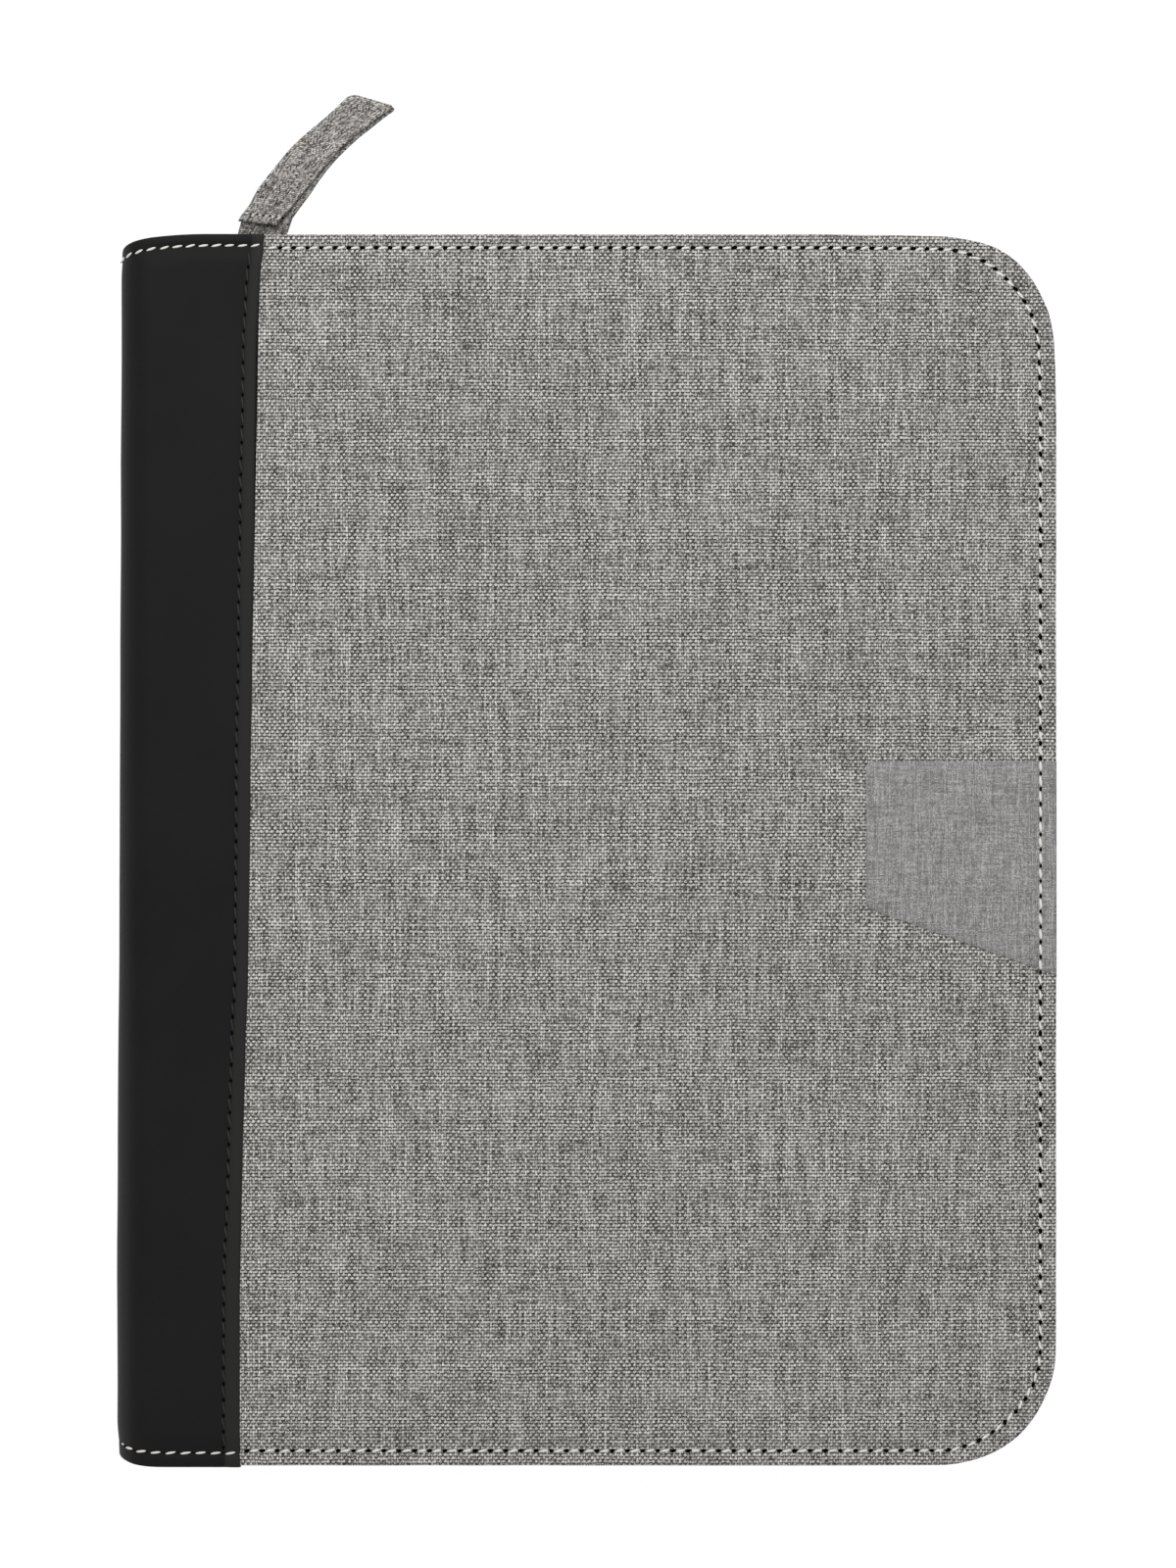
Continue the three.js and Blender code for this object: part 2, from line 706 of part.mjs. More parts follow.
function coverPlate() {
  const shape = new THREE.Shape();
  shape.moveTo(plateHalfWidth, 0);
  shape.absellipse(0, 0, plateHalfWidth, plateHeight, 0, Math.PI);
  shape.lineTo(-plateHalfWidth + plateWall, 0);
  shape.absellipse(0, 0, plateHalfWidth - plateWall, plateHeight - plateWall, Math.PI, 0, true);
  const plate = runAlongY(shape, -plateLength / 2, plateLength / 2, 8).translate(ringX, 0, floorFace);
  const halfSlot = ringWire / 2 + 0.9;
  const slots = ringPlaces.flatMap((y) => [-1, 1].map((side) => {
    const near = side * (postOffset - halfSlot);
    const far = side * (plateHalfWidth + 1);
    return boxBetween(ringX + Math.min(near, far), ringX + Math.max(near, far), y - halfSlot, y + halfSlot,
      floorFace + bladeRise, floorFace + plateHeight);
  }));
  const holes = rivetPlaces.map((y) => {
    return uprightCylinder(rivetShank + clearance, ringX, y, floorFace + 2, floorFace + plateHeight + 1);
  });
  return cut(plate, ...slots, ...holes);
}

function ringBlade(side) {
  const inner = side * clearance / 2;
  const outer = side * bladeOuter;
  const blade = boxBetween(ringX + Math.min(inner, outer), ringX + Math.max(inner, outer),
    -bladeEnd, bladeEnd, bladeLow, bladeTop);
  const notches = rivetPlaces.map((y) => uprightCylinder(rivetHead, ringX, y, bladeLow - 1, bladeTop + 1));
  return cut(blade, ...notches);
}

// Half of a ring: straight through the pages on the page side, swelling towards the spine on the other
function halfRing(side, y) {
  const at = (x, z) => new THREE.Vector3(ringX + side * x, y, z);
  const path = new THREE.CurvePath();
  const tip = at(clearance / 2, ringTop);
  if (side > 0) {
    const shoulder = at(postOffset - ringBend, ringTop);
    const post = at(postOffset, ringTop - ringBend);
    path.add(new THREE.LineCurve3(at(postOffset, footZ), post));
    const bend = 0.5523 * ringBend;
    path.add(new THREE.CubicBezierCurve3(post, at(postOffset, ringTop - ringBend + bend),
      at(postOffset - ringBend + bend, ringTop), shoulder));
    path.add(new THREE.LineCurve3(shoulder, tip));
  } else {
    const foot = at(postOffset, footZ);
    const rise = at(postOffset, footZ + 1.6);
    const wide = at(postOffset + ringBulge, (footZ + ringTop) / 2);
    path.add(new THREE.LineCurve3(foot, rise));
    path.add(new THREE.CubicBezierCurve3(rise, at(postOffset, footZ + 4),
      at(postOffset + ringBulge, (footZ + ringTop) / 2 - 5), wide));
    path.add(new THREE.CubicBezierCurve3(wide, at(postOffset + ringBulge, ringTop - 3),
      at(postOffset - 1, ringTop), tip));
  }
  const wire = new THREE.Shape();
  wire.absarc(0, 0, ringWire / 2, 0, Math.PI * 2);
  return new THREE.ExtrudeGeometry(wire, { steps: 18, extrudePath: path, curveSegments: 4 });
}

function ringLever(end) {
  const start = plateLength / 2 - 2.6;
  const low = floorFace + 0.6;
  const pivot = plateLength / 2 + 1;
  const profile = new THREE.Shape();
  profile.moveTo(start, low);
  profile.lineTo(pivot + 0.8, low);
  profile.quadraticCurveTo(pivot + 1.2, low + leverHeight * 0.6, pivot + leverFlare, low + leverHeight);
  profile.lineTo(pivot + leverFlare - leverThickness, low + leverHeight + 0.6);
  profile.quadraticCurveTo(pivot - 0.6, low + leverHeight * 0.55, pivot - 0.8, low + leverThickness);
  profile.lineTo(start, low + leverThickness);
  const lever = new THREE.ExtrudeGeometry(profile, {
    depth: leverWidth, bevelEnabled: false, curveSegments: 5,
  });
  lever.rotateX(Math.PI / 2).rotateZ(Math.PI / 2).translate(ringX - leverWidth / 2, 0, 0);
  return end > 0 ? lever : lever.rotateZ(Math.PI).translate(2 * ringX, 0, 0);
}

function plateRivet(y) {
  const head = floorFace + plateHeight + 0.05;
  const profile = [
    [0, underBoardBack], [rivetShank, underBoardBack], [rivetShank, head], [rivetHead, head],
    [rivetHead, head + rivetHeadHeight * 0.5], [rivetHead * 0.7, head + rivetHeadHeight],
    [0, head + rivetHeadHeight],
  ].map(([r, z]) => new THREE.Vector2(r, z));
  return new THREE.LatheGeometry(profile, 16).rotateX(Math.PI / 2).translate(ringX, y, 0);
}

const underBoardBack = caseThickness - underFoam + 0.2;
addPiece('ring_cover_plate', coverPlate(), nickel);
addPiece('ring_rivet_head', plateRivet(rivetPlaces[0]), nickel);
addPiece('ring_rivet_foot', plateRivet(rivetPlaces[1]), nickel);
for (const [hand, side] of [['right', 1], ['left', -1]]) {
  addPiece(`ring_blade_${hand}`, ringBlade(side), nickel);
  ringPlaces.forEach((y, n) => addPiece(`half_ring_${hand}_${n + 1}`, halfRing(side, y), nickel));
}
addPiece('ring_lever_head', ringLever(1), nickel);
addPiece('ring_lever_foot', ringLever(-1), nickel);

// Pages, draped from the ring mechanism down to the lining, with holes for the rings

function pageBlock() {
  const hole = ringX + postOffset + holeRadius - ringWire / 2 - clearance;
  const left = hole - holeFromEdge;
  const right = loopX - loopOuter - pageToLoop;
  const rest = floorFace + plateHeight + rivetHeadHeight + 0.5;
  const slopeFrom = ringX + plateHalfWidth;
  const slopeTo = slopeFrom + 18;
  const block = runAlongY(polygon([
    [left, rest], [slopeFrom, rest], [slopeTo, floorFace], [right, floorFace],
    [right, floorFace + pageStack], [slopeTo + 4, floorFace + pageStack],
    [slopeFrom + 4, rest + pageStack], [left, rest + pageStack],
  ]), -pageHeight / 2, pageHeight / 2);
  return cut(block, ...ringPlaces.map((y) => {
    return uprightCylinder(holeRadius, hole, y, rest - 6, rest + pageStack + 1, 20);
  }));
}

addPiece('page_block', pageBlock(), material('paper', 0.9));

// Pockets inside the front cover: a slip pocket with three card slots on it

function pocketOutline(left, right, low, high, highRight, corner) {
  const shape = new THREE.Shape();
  shape.moveTo(left, low);
  shape.lineTo(right - corner, low);
  shape.absarc(right - corner, low + corner, corner, -Math.PI / 2, 0);
  shape.lineTo(right, highRight);
  shape.lineTo(left, high);
  return shape;
}

// A sheet on a sewn hem along three sides, open at the top
function pocket(left, right, low, high, highRight, corner, face) {
  const outline = pocketOutline(left, right, low, high, highRight, corner);
  const inside = pocketOutline(left + pocketHem, right - pocketHem, low + pocketHem, high + pocketHem,
    highRight + pocketHem, corner - pocketHem);
  const block = runUp(outline, face - pocketGap - pocketSheet, face, 5);
  return cut(block, runUp(inside, face - pocketGap, face + pocketGap, 5));
}

const slipLeft = halfWidth - padInset - slipEdge - slipWidth;
const slipLow = -halfHeight + padInset + slipEdge;
const slipHigh = slipLow + slipHeight;
const slipRight = slipLeft + slipWidth;
const slipCorner = cornerRadius - padInset - slipEdge;
addPiece('slip_pocket', pocket(slipLeft, slipRight, slipLow, slipHigh, slipHigh - slipSlant, slipCorner,
  innerFace), liningCloth);
cardSlots.forEach((place, n) => {
  const face = innerFace - (n + 1) * (pocketSheet + pocketGap);
  const left = slipLeft + cardInset;
  const low = slipLow + cardInset;
  const high = low + cardHeight - n * cardStep;
  const slot = pocket(left, left + cardWidth, low, high, high, pocketHem + 1, face);
  addPiece(`card_slot_${place}`, slot, coated);
});

// Pen loop at the opening side of the back cover

function penLoop() {
  const shape = new THREE.Shape();
  const flat = loopOuter - 0.6;
  const angle = Math.asin(flat / loopOuter);
  shape.absarc(0, 0, loopOuter, -angle, Math.PI + angle);
  const hole = new THREE.Path();
  hole.absarc(0, 0.2, loopOuter - loopSheet, 0, Math.PI * 2);
  shape.holes.push(hole);
  return runAlongY(shape, -loopLength / 2, loopLength / 2, 12).translate(loopX, 0, floorFace + flat);
}

addPiece('pen_loop', penLoop(), material('tape', 0.85));

export default planner;
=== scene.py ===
# Zip-round planner: padded woven covers, coated spine, moulded zip, ring mechanism and pockets
import bpy
import bmesh
import json
import math
import random
from mathutils import Matrix, Vector, noise
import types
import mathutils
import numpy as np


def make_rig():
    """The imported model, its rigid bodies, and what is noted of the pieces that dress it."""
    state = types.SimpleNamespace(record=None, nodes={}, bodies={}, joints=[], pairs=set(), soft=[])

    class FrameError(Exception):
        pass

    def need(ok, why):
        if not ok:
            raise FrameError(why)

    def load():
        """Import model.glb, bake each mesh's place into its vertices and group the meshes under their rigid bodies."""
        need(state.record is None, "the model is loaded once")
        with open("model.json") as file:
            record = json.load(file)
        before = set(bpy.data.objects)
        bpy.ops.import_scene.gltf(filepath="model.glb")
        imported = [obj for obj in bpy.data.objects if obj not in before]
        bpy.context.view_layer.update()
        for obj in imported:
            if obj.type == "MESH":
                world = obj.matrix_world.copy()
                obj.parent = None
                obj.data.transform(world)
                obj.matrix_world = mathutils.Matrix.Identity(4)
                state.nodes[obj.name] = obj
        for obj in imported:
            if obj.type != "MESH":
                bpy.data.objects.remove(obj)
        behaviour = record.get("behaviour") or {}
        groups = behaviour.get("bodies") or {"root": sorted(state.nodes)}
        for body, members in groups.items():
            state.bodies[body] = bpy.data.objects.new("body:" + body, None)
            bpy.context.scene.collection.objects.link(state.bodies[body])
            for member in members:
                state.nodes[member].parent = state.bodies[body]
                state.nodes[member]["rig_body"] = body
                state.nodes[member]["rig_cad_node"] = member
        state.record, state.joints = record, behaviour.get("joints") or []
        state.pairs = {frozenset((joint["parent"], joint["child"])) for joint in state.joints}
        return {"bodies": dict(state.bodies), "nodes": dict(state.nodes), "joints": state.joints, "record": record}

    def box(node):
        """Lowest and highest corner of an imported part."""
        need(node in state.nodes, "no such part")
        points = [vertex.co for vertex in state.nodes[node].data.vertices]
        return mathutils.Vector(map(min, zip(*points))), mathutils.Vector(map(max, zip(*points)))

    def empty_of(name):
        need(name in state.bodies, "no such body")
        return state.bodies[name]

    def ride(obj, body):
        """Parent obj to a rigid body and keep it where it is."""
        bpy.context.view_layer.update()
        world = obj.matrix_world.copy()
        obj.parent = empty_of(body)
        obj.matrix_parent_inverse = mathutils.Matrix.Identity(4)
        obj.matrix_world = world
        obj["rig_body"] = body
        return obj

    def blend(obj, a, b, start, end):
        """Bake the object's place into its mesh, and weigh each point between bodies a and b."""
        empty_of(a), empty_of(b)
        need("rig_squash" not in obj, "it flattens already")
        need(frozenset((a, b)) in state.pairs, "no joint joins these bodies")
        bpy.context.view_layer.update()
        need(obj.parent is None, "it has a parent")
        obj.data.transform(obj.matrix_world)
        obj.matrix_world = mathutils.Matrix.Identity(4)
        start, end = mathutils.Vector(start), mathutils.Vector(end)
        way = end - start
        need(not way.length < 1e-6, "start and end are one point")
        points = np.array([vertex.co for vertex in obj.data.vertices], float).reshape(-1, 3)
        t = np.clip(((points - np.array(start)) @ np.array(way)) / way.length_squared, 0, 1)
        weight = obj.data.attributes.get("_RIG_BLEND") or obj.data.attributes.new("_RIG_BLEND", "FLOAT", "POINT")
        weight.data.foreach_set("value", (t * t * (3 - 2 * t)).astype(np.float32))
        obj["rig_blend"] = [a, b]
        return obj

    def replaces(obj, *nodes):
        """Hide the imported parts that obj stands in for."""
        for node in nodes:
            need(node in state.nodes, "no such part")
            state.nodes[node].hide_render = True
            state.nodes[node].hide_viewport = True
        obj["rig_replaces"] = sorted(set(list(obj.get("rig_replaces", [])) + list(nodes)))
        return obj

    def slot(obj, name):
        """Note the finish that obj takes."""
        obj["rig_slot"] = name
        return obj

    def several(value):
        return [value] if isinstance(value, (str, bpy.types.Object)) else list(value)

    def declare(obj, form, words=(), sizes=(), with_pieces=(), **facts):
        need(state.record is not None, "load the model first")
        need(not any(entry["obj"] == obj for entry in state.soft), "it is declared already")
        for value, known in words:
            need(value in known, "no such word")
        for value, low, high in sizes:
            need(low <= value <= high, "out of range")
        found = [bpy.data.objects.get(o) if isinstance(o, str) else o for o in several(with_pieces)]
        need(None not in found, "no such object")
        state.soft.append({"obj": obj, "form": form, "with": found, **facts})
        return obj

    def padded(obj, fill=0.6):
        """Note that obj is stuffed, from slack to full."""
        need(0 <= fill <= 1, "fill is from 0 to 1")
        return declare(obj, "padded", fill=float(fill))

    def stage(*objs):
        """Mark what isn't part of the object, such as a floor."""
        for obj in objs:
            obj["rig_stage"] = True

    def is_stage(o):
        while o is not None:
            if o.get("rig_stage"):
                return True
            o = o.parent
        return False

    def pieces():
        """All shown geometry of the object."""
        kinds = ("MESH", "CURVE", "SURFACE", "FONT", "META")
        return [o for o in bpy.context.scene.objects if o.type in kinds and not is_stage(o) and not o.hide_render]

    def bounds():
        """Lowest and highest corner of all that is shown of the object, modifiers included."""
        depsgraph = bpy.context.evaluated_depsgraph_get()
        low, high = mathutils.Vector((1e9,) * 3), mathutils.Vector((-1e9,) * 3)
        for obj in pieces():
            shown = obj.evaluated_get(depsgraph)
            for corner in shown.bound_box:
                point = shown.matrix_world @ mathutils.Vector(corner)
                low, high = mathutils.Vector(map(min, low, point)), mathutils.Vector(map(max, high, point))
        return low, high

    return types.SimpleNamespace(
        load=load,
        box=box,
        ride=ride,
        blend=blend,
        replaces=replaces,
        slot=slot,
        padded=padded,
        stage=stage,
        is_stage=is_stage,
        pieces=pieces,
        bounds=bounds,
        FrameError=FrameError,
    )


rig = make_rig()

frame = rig.load()
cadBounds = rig.bounds()
scene = bpy.context.scene
scene.view_settings.view_transform = "Standard"
rng = random.Random(7)

# sizes in millimetres, turned to metres when a piece is finished
case = {
    "halfWidth": 129.3, "halfHeight": 170.0, "thickness": 38.0, "corner": 32.5, "fold": 9.0,
    "shell": 1.6, "wall": 6.0, "tape": 0.6,
}
halfWidth, halfHeight, faceZ = case["halfWidth"], case["halfHeight"], case["thickness"]
foldX = case["fold"] - halfWidth
wallMiddle = case["wall"] + case["tape"] / 2
bodies = {"Front": "front_half", "Back": "back_half"}

# where the black leaves each cover and where it has reached the spine, in metres
foldEnds = {
    "Front": {"start": (foldX / 1000, 0, 0.038), "end": (-0.1293, 0, 0.029)},
    "Back": {"start": (foldX / 1000, 0, 0.0), "end": (-0.1293, 0, 0.009)},
}

# how far the cover's face lies below its padded level, by distance from the case edge
hemProfile = [(0.0, 1.95), (0.12, 1.6), (0.45, 1.25), (1.1, 1.05), (2.2, 0.98), (3.3, 1.05), (4.2, 1.38),
              (5.1, 0.98), (6.2, 0.72), (7.4, 0.34), (8.8, 0.08), (11.0, 0.0)]
needleInset = 4.2

# the seam between the black and the grey: place across the cover, by place up the cover
seamLine = [(-170, -95.9), (-117, -95.9), (-90, -95.2), (-50, -94.3), (-36, -93.6), (18, -93.0), (59, -92.4),
            (99, -91.9), (126, -91.6), (140, -91.4), (153, -90.8), (170, -89.3)]


def nodeBox(node):
    # the two corners of a CAD node's box
    return [[v * 1000 for v in corner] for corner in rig.box(node)]


def held(value):
    return max(0.0, min(1.0, value))


def eased(part):
    return part * part * (3 - 2 * part)


def readTable(table, at):
    # eased between the table's rows, and its end values beyond them
    if at <= table[0][0]:
        return table[0][1]
    for (a, low), (b, high) in zip(table, table[1:]):
        if at <= b:
            return low + (high - low) * eased((at - a) / (b - a))
    return table[-1][1]


def hexColour(code):
    # sRGB hex to linear
    parts = [int(code[i:i + 2], 16) / 255 for i in (1, 3, 5)]
    return [c / 12.92 if c <= 0.04045 else ((c + 0.055) / 1.055) ** 2.4 for c in parts] + [1.0]


def addNode(tree, kind, inputs):
    # the node's own settings and its inputs: a value is set, and a socket or a node's first output joined
    node = tree.nodes.new("ShaderNode" + kind)
    for name, value in inputs.items():
        if isinstance(value, bpy.types.Node):
            value = value.outputs[0]
        if isinstance(value, bpy.types.NodeSocket):
            tree.links.new(value, node.inputs[name])
        elif isinstance(name, str) and hasattr(node, name):
            setattr(node, name, value)
        else:
            node.inputs[name].default_value = value
    return node


def emptyTree(holder):
    holder.use_nodes = True
    holder.node_tree.nodes.clear()
    return holder.node_tree


def startMaterial(name, finish):
    # an empty material with its shader, constants set on the shader's own sockets
    look = bpy.data.materials.new(name)
    tree = emptyTree(look)
    shader = addNode(tree, "BsdfPrincipled", {
        "Roughness": finish.get("roughness", 0.5), "Specular IOR Level": finish.get("specular", 0.5),
        "Metallic": finish.get("metallic", 0.0)})
    addNode(tree, "OutputMaterial", {"Surface": shader})
    return look, tree, shader


def dressShader(tree, shader, colour, height, finish):
    bump = addNode(tree, "Bump", {"Strength": finish["bump"], "Distance": finish["bumpDepth"] / 1000,
                                  "Height": height})
    tree.links.new(colour, shader.inputs["Base Color"])
    tree.links.new(bump.outputs[0], shader.inputs["Normal"])


def wovenCloth(name, cloth):
    # plain weave: two sets of yarns rise and dip in turn, the higher one shows and the gaps between them take painted
    # shade;
    # every yarn keeps its own tone along its length, and slubs and specks vary it
    look, tree, shader = startMaterial(name, cloth)
    place = addNode(tree, "TexCoord", {}).outputs["UV" if cloth["uv"] else "Object"]
    unit = 1 if cloth["uv"] else 1000
    perYarn = (unit / cloth["yarnX"], unit / cloth["yarnY"], unit / cloth["yarnX"])
    size = addNode(tree, "Mapping", {"Scale": perYarn, "Vector": place})
    wander = addNode(tree, "TexNoise", {"Scale": cloth["wanderScale"], "Detail": 2.0, "Vector": size})
    centred = addNode(tree, "VectorMath", {"operation": "SUBTRACT", 0: wander.outputs["Color"],
                                           1: (0.5, 0.5, 0.5)})
    reach = (cloth["wander"], cloth["wander"], 0)
    shifted = addNode(tree, "VectorMath", {"operation": "MULTIPLY_ADD", 0: centred, 1: reach, 2: size})
    xyz = addNode(tree, "SeparateXYZ", {0: shifted})
    values = {"X": xyz.outputs[0], "Y": xyz.outputs[1]}
    # each yarn reads its own line of a noise: far from its neighbour's, and slow along its length
    cell = addNode(tree, "VectorMath", {"operation": "FLOOR", 0: shifted})
    apart, slub = 3.7, cloth["slub"]
    for tone, across, along, offset in (("warpTone", (apart, 0, 0), (0, slub, 0), (0, 0, 0)),
                                        ("weftTone", (0, apart, 0), (slub, 0, 0), (0, 0, 19))):
        slow = addNode(tree, "VectorMath", {"operation": "MULTIPLY_ADD", 0: shifted, 1: along, 2: offset})
        line = addNode(tree, "VectorMath", {"operation": "MULTIPLY_ADD", 0: cell, 1: across, 2: slow})
        values[tone] = addNode(tree, "TexNoise", {"Scale": 1.0, "Detail": 3.0, "Vector": line})
    # fibres of both tones show as specks smaller than a yarn
    finer = addNode(tree, "VectorMath", {"operation": "SCALE", 0: shifted, "Scale": cloth["specks"]})
    speckCell = addNode(tree, "VectorMath", {"operation": "FLOOR", 0: finer})
    values["speck"] = addNode(tree, "TexWhiteNoise", {"noise_dimensions": "2D", "Vector": speckCell})
    values["cloud"] = addNode(tree, "TexNoise", {"Scale": cloth["cloudScale"], "Detail": 3.0, "Vector": size})
    steps = []
    # which set passes over at a crossing, and the waves of both sets
    for axis in "XY":
        steps += [
            ("flip" + axis, "FLOOR", axis),
            ("flip" + axis, "FLOORED_MODULO", "flip" + axis, 2.0),
            ("flip" + axis, "MULTIPLY_ADD", "flip" + axis, -2.0, 1.0),
            ("angle" + axis, "MULTIPLY", axis, math.pi),
            ("wave" + axis, "SINE", "angle" + axis),
            ("turn" + axis, "COSINE", "angle" + axis),
            ("round" + axis, "ABSOLUTE", "wave" + axis),
        ]
    rise, bias, warpShare = cloth["rise"], cloth["bias"], cloth["warpShare"]
    steps += [
        # each yarn's rounded section plus its rise over and dip under the other set
        ("weft", "MULTIPLY", "waveX", "flipY"),
        ("weft", "MULTIPLY_ADD", "weft", rise, "roundY"),
        ("warp", "MULTIPLY", "waveY", "flipX"),
        ("warp", "MULTIPLY_ADD", "warp", -rise, "roundX"),
        ("height", "MAXIMUM", "weft", "warp"),
        ("height", "DIVIDE", "height", 1 + rise),
        ("over", "GREATER_THAN", "weft", "warp"),
        # the weft is paler by the bias, and the yarns' twist leans
        ("total", "MULTIPLY_ADD", "over", bias, 0.5 - bias / 2),
        ("lean", "MULTIPLY", "turnX", "turnY"),
        ("total", "MULTIPLY_ADD", "lean", cloth["twist"], "total"),
        # the tone of the yarn on top, then this, the specks and the clouds centred on nought and weighed
        ("warpTone", "MULTIPLY_ADD", "warpTone", warpShare, 0.5 - warpShare / 2),
        ("tone", "SUBTRACT", "weftTone", "warpTone"),
        ("tone", "MULTIPLY_ADD", "tone", "over", "warpTone"),
    ]
    for part in ("tone", "speck", "cloud"):
        steps += [(part, "SUBTRACT", part, 0.5),
                  ("total", "MULTIPLY_ADD", part, cloth[part + "Share"], "total")]
    steps += [
        # lit from the head, each weft float shades a short dash of the gap on its foot side
        ("dash", "MULTIPLY", "waveX", "turnY"),
        ("skew", "MULTIPLY", "waveY", "turnX"),
        ("dash", "MULTIPLY_ADD", "skew", cloth["dashSlant"], "dash"),
        ("dash", "MAXIMUM", "dash", 0.0),
        ("dash", "POWER", "dash", cloth["dashPower"]),
        ("lit", "MULTIPLY_ADD", "dash", -cloth["dash"], 1.0),
        # a fainter shade lies between the upright yarns
        ("upright", "MULTIPLY_ADD", "roundX", cloth["column"], 1 - cloth["column"]),
        ("lit", "MULTIPLY", "lit", "upright"),
    ]
    for result, operation, *parts in steps:
        inputs = {at: values.get(part, part) for at, part in enumerate(parts)}
        values[result] = addNode(tree, "Math", {"operation": operation, **inputs})
    colours = addNode(tree, "ValToRGB", {0: values["total"]})
    ramp = colours.color_ramp.elements
    for at in (0, -1):
        ramp[at].position = cloth["stops"][at]
        ramp[at].color = hexColour(cloth["yarns"][at])
    for stop, colour in zip(cloth["stops"][1:-1], cloth["yarns"][1:-1]):
        ramp.new(stop).color = hexColour(colour)
    # painted shade: where the yarns lie low the colour is mixed towards the gap's shade colour, and the dashes and the
    # shade between upright yarns deepen it
    depth = addNode(tree, "MapRange", {"interpolation_type": "SMOOTHSTEP", 0: values["height"],
                                       1: cloth["gapFrom"], 2: cloth["gapTo"]})
    unshaded = addNode(tree, "Math", {"operation": "MULTIPLY", 0: depth, 1: values["lit"]})
    shade = addNode(tree, "Mix", {"data_type": "RGBA", 0: unshaded, 6: hexColour(cloth["gap"]), 7: colours})
    dressShader(tree, shader, shade.outputs[2], values["height"], cloth)
    return look


def grainedSurface(name, grain):
    # two noises: a fine grain in colour and bump, and slow clouding in colour
    look, tree, shader = startMaterial(name, grain)
    place = addNode(tree, "TexCoord", {}).outputs
    perGrain = [1000 / size for size in grain["grain"]]
    size = addNode(tree, "Mapping", {"Scale": perGrain, "Vector": place["Object"]})
    fine = addNode(tree, "TexNoise", {"Scale": 1.0, "Detail": 3.0, "Roughness": 0.6, "Vector": size})
    perCloud = 1000 / grain["cloud"]
    slow = addNode(tree, "TexNoise", {"Scale": perCloud, "Detail": 2.0, "Vector": place["Object"]})
    slow = addNode(tree, "Math", {"operation": "MULTIPLY", 0: slow, 1: 0.4})
    mixed = addNode(tree, "Math", {"operation": "MULTIPLY_ADD", 0: fine, 1: 0.6, 2: slow})
    tone = addNode(tree, "MapRange", {0: mixed, 1: 0.3, 2: 0.7})
    colour = addNode(tree, "Mix", {"data_type": "RGBA", 0: tone, 6: hexColour(grain["dark"]),
                                   7: hexColour(grain["light"])}).outputs[2]
    if "edge" in grain:
        # painted highlight: the turned edge, raised towards the light, is painted paler up to the needle line
        across = addNode(tree, "SeparateXYZ", {0: place["UV"]})
        edge = addNode(tree, "MapRange", {0: across, 1: grain["edge"][0], 2: grain["edge"][1]})
        colour = addNode(tree, "Mix", {"data_type": "RGBA", 0: edge, 6: hexColour(grain["edgePale"]),
                                       7: colour}).outputs[2]
    if "rough" in grain:
        smooth, dull = grain["rough"]
        rough = addNode(tree, "MapRange", {0: fine, 1: 0.3, 2: 0.7, 3: smooth, 4: dull})
        tree.links.new(rough.outputs[0], shader.inputs["Roughness"])
    dressShader(tree, shader, colour, fine, grain)
    return look


# polyester heather, plain woven from slubbed melange yarns: matt, speckled grey, with painted shade in the gaps, at
# each float's foot and between the upright yarns
coverCloth = {
    "uv": False, "yarnX": 0.735, "yarnY": 0.92, "wander": 0.7, "wanderScale": 0.08, "slub": 0.06, "rise": 0.5,
    "cloudScale": 0.03, "toneShare": 1.02, "speckShare": 0.55, "cloudShare": 0.03, "specks": 2.5, "bias": 0.2,
    "warpShare": 1.6, "twist": 0.04, "dash": 0.96, "dashSlant": -0.15, "dashPower": 2.0, "column": 0.38,
    "stops": (0.1, 0.35, 0.62, 0.95), "yarns": ("#4c4947", "#918d8a", "#d7d4cf", "#fcfaf5"), "gap": "#201e1d",
    "gapFrom": 0.22, "gapTo": 0.68, "bump": 0.6, "bumpDepth": 0.12, "roughness": 0.95, "specular": 0.2,
}
heather = wovenCloth("heatherPlainWeave", coverCloth)

# the same yarns in a tighter strap weave, and a darker copy of it for the lower layer, which is painted shade
strapCloth = dict(
    coverCloth, uv=True, yarnX=0.42, yarnY=0.62, wander=0.25, wanderScale=0.15, slub=0.12, toneShare=1.1,
    speckShare=0.5, specks=1.0, bias=0.1, warpShare=2.0, twist=0.02, dash=0.0, column=0.0,
    yarns=("#393634", "#797572", "#bab6b2", "#f2eee9"), gap="#211e1d", gapFrom=0.29, gapTo=0.6)
strapHeather = wovenCloth("heatherStrapWeave", strapCloth)
strapShadedCopy = wovenCloth("heatherStrapShaded", dict(
    strapCloth, yarns=("#383533", "#716d6a", "#aca7a2", "#e4dfda"), gap="#1c1a19", specular=0.15))

# smooth fine-count patch fabric, calendered flat: even grey with faint upright streaks
patchWeave = wovenCloth("calenderedPatchWeave", dict(
    coverCloth, yarnX=0.29, yarnY=0.33, wander=0.5, wanderScale=0.3, slub=0.03, cloudScale=0.04,
    toneShare=1.6, speckShare=0.6, cloudShare=0.1, specks=1.0, bias=0.1, dash=0.0, column=0.0,
    stops=(0.05, 0.5, 0.95), yarns=("#686665", "#939291", "#c4c3c2"), gap="#757372", gapFrom=0.1, gapTo=0.5,
    bump=0.25, bumpDepth=0.04, roughness=0.85, specular=0.25))

# polyurethane-coated woven polyester: near black, matt, with a fine leather-like grain, and a painted highlight on the
# turned edge by the seam
coatedBlack = grainedSurface("coatedBlackCloth", {
    "grain": (0.32, 0.32, 0.32), "cloud": 30, "dark": "#141213", "light": "#1d1b1c", "rough": (0.5, 0.66),
    "edge": (3.0, 3.5), "edgePale": "#282827", "bump": 0.35, "bumpDepth": 0.05, "specular": 0.14})

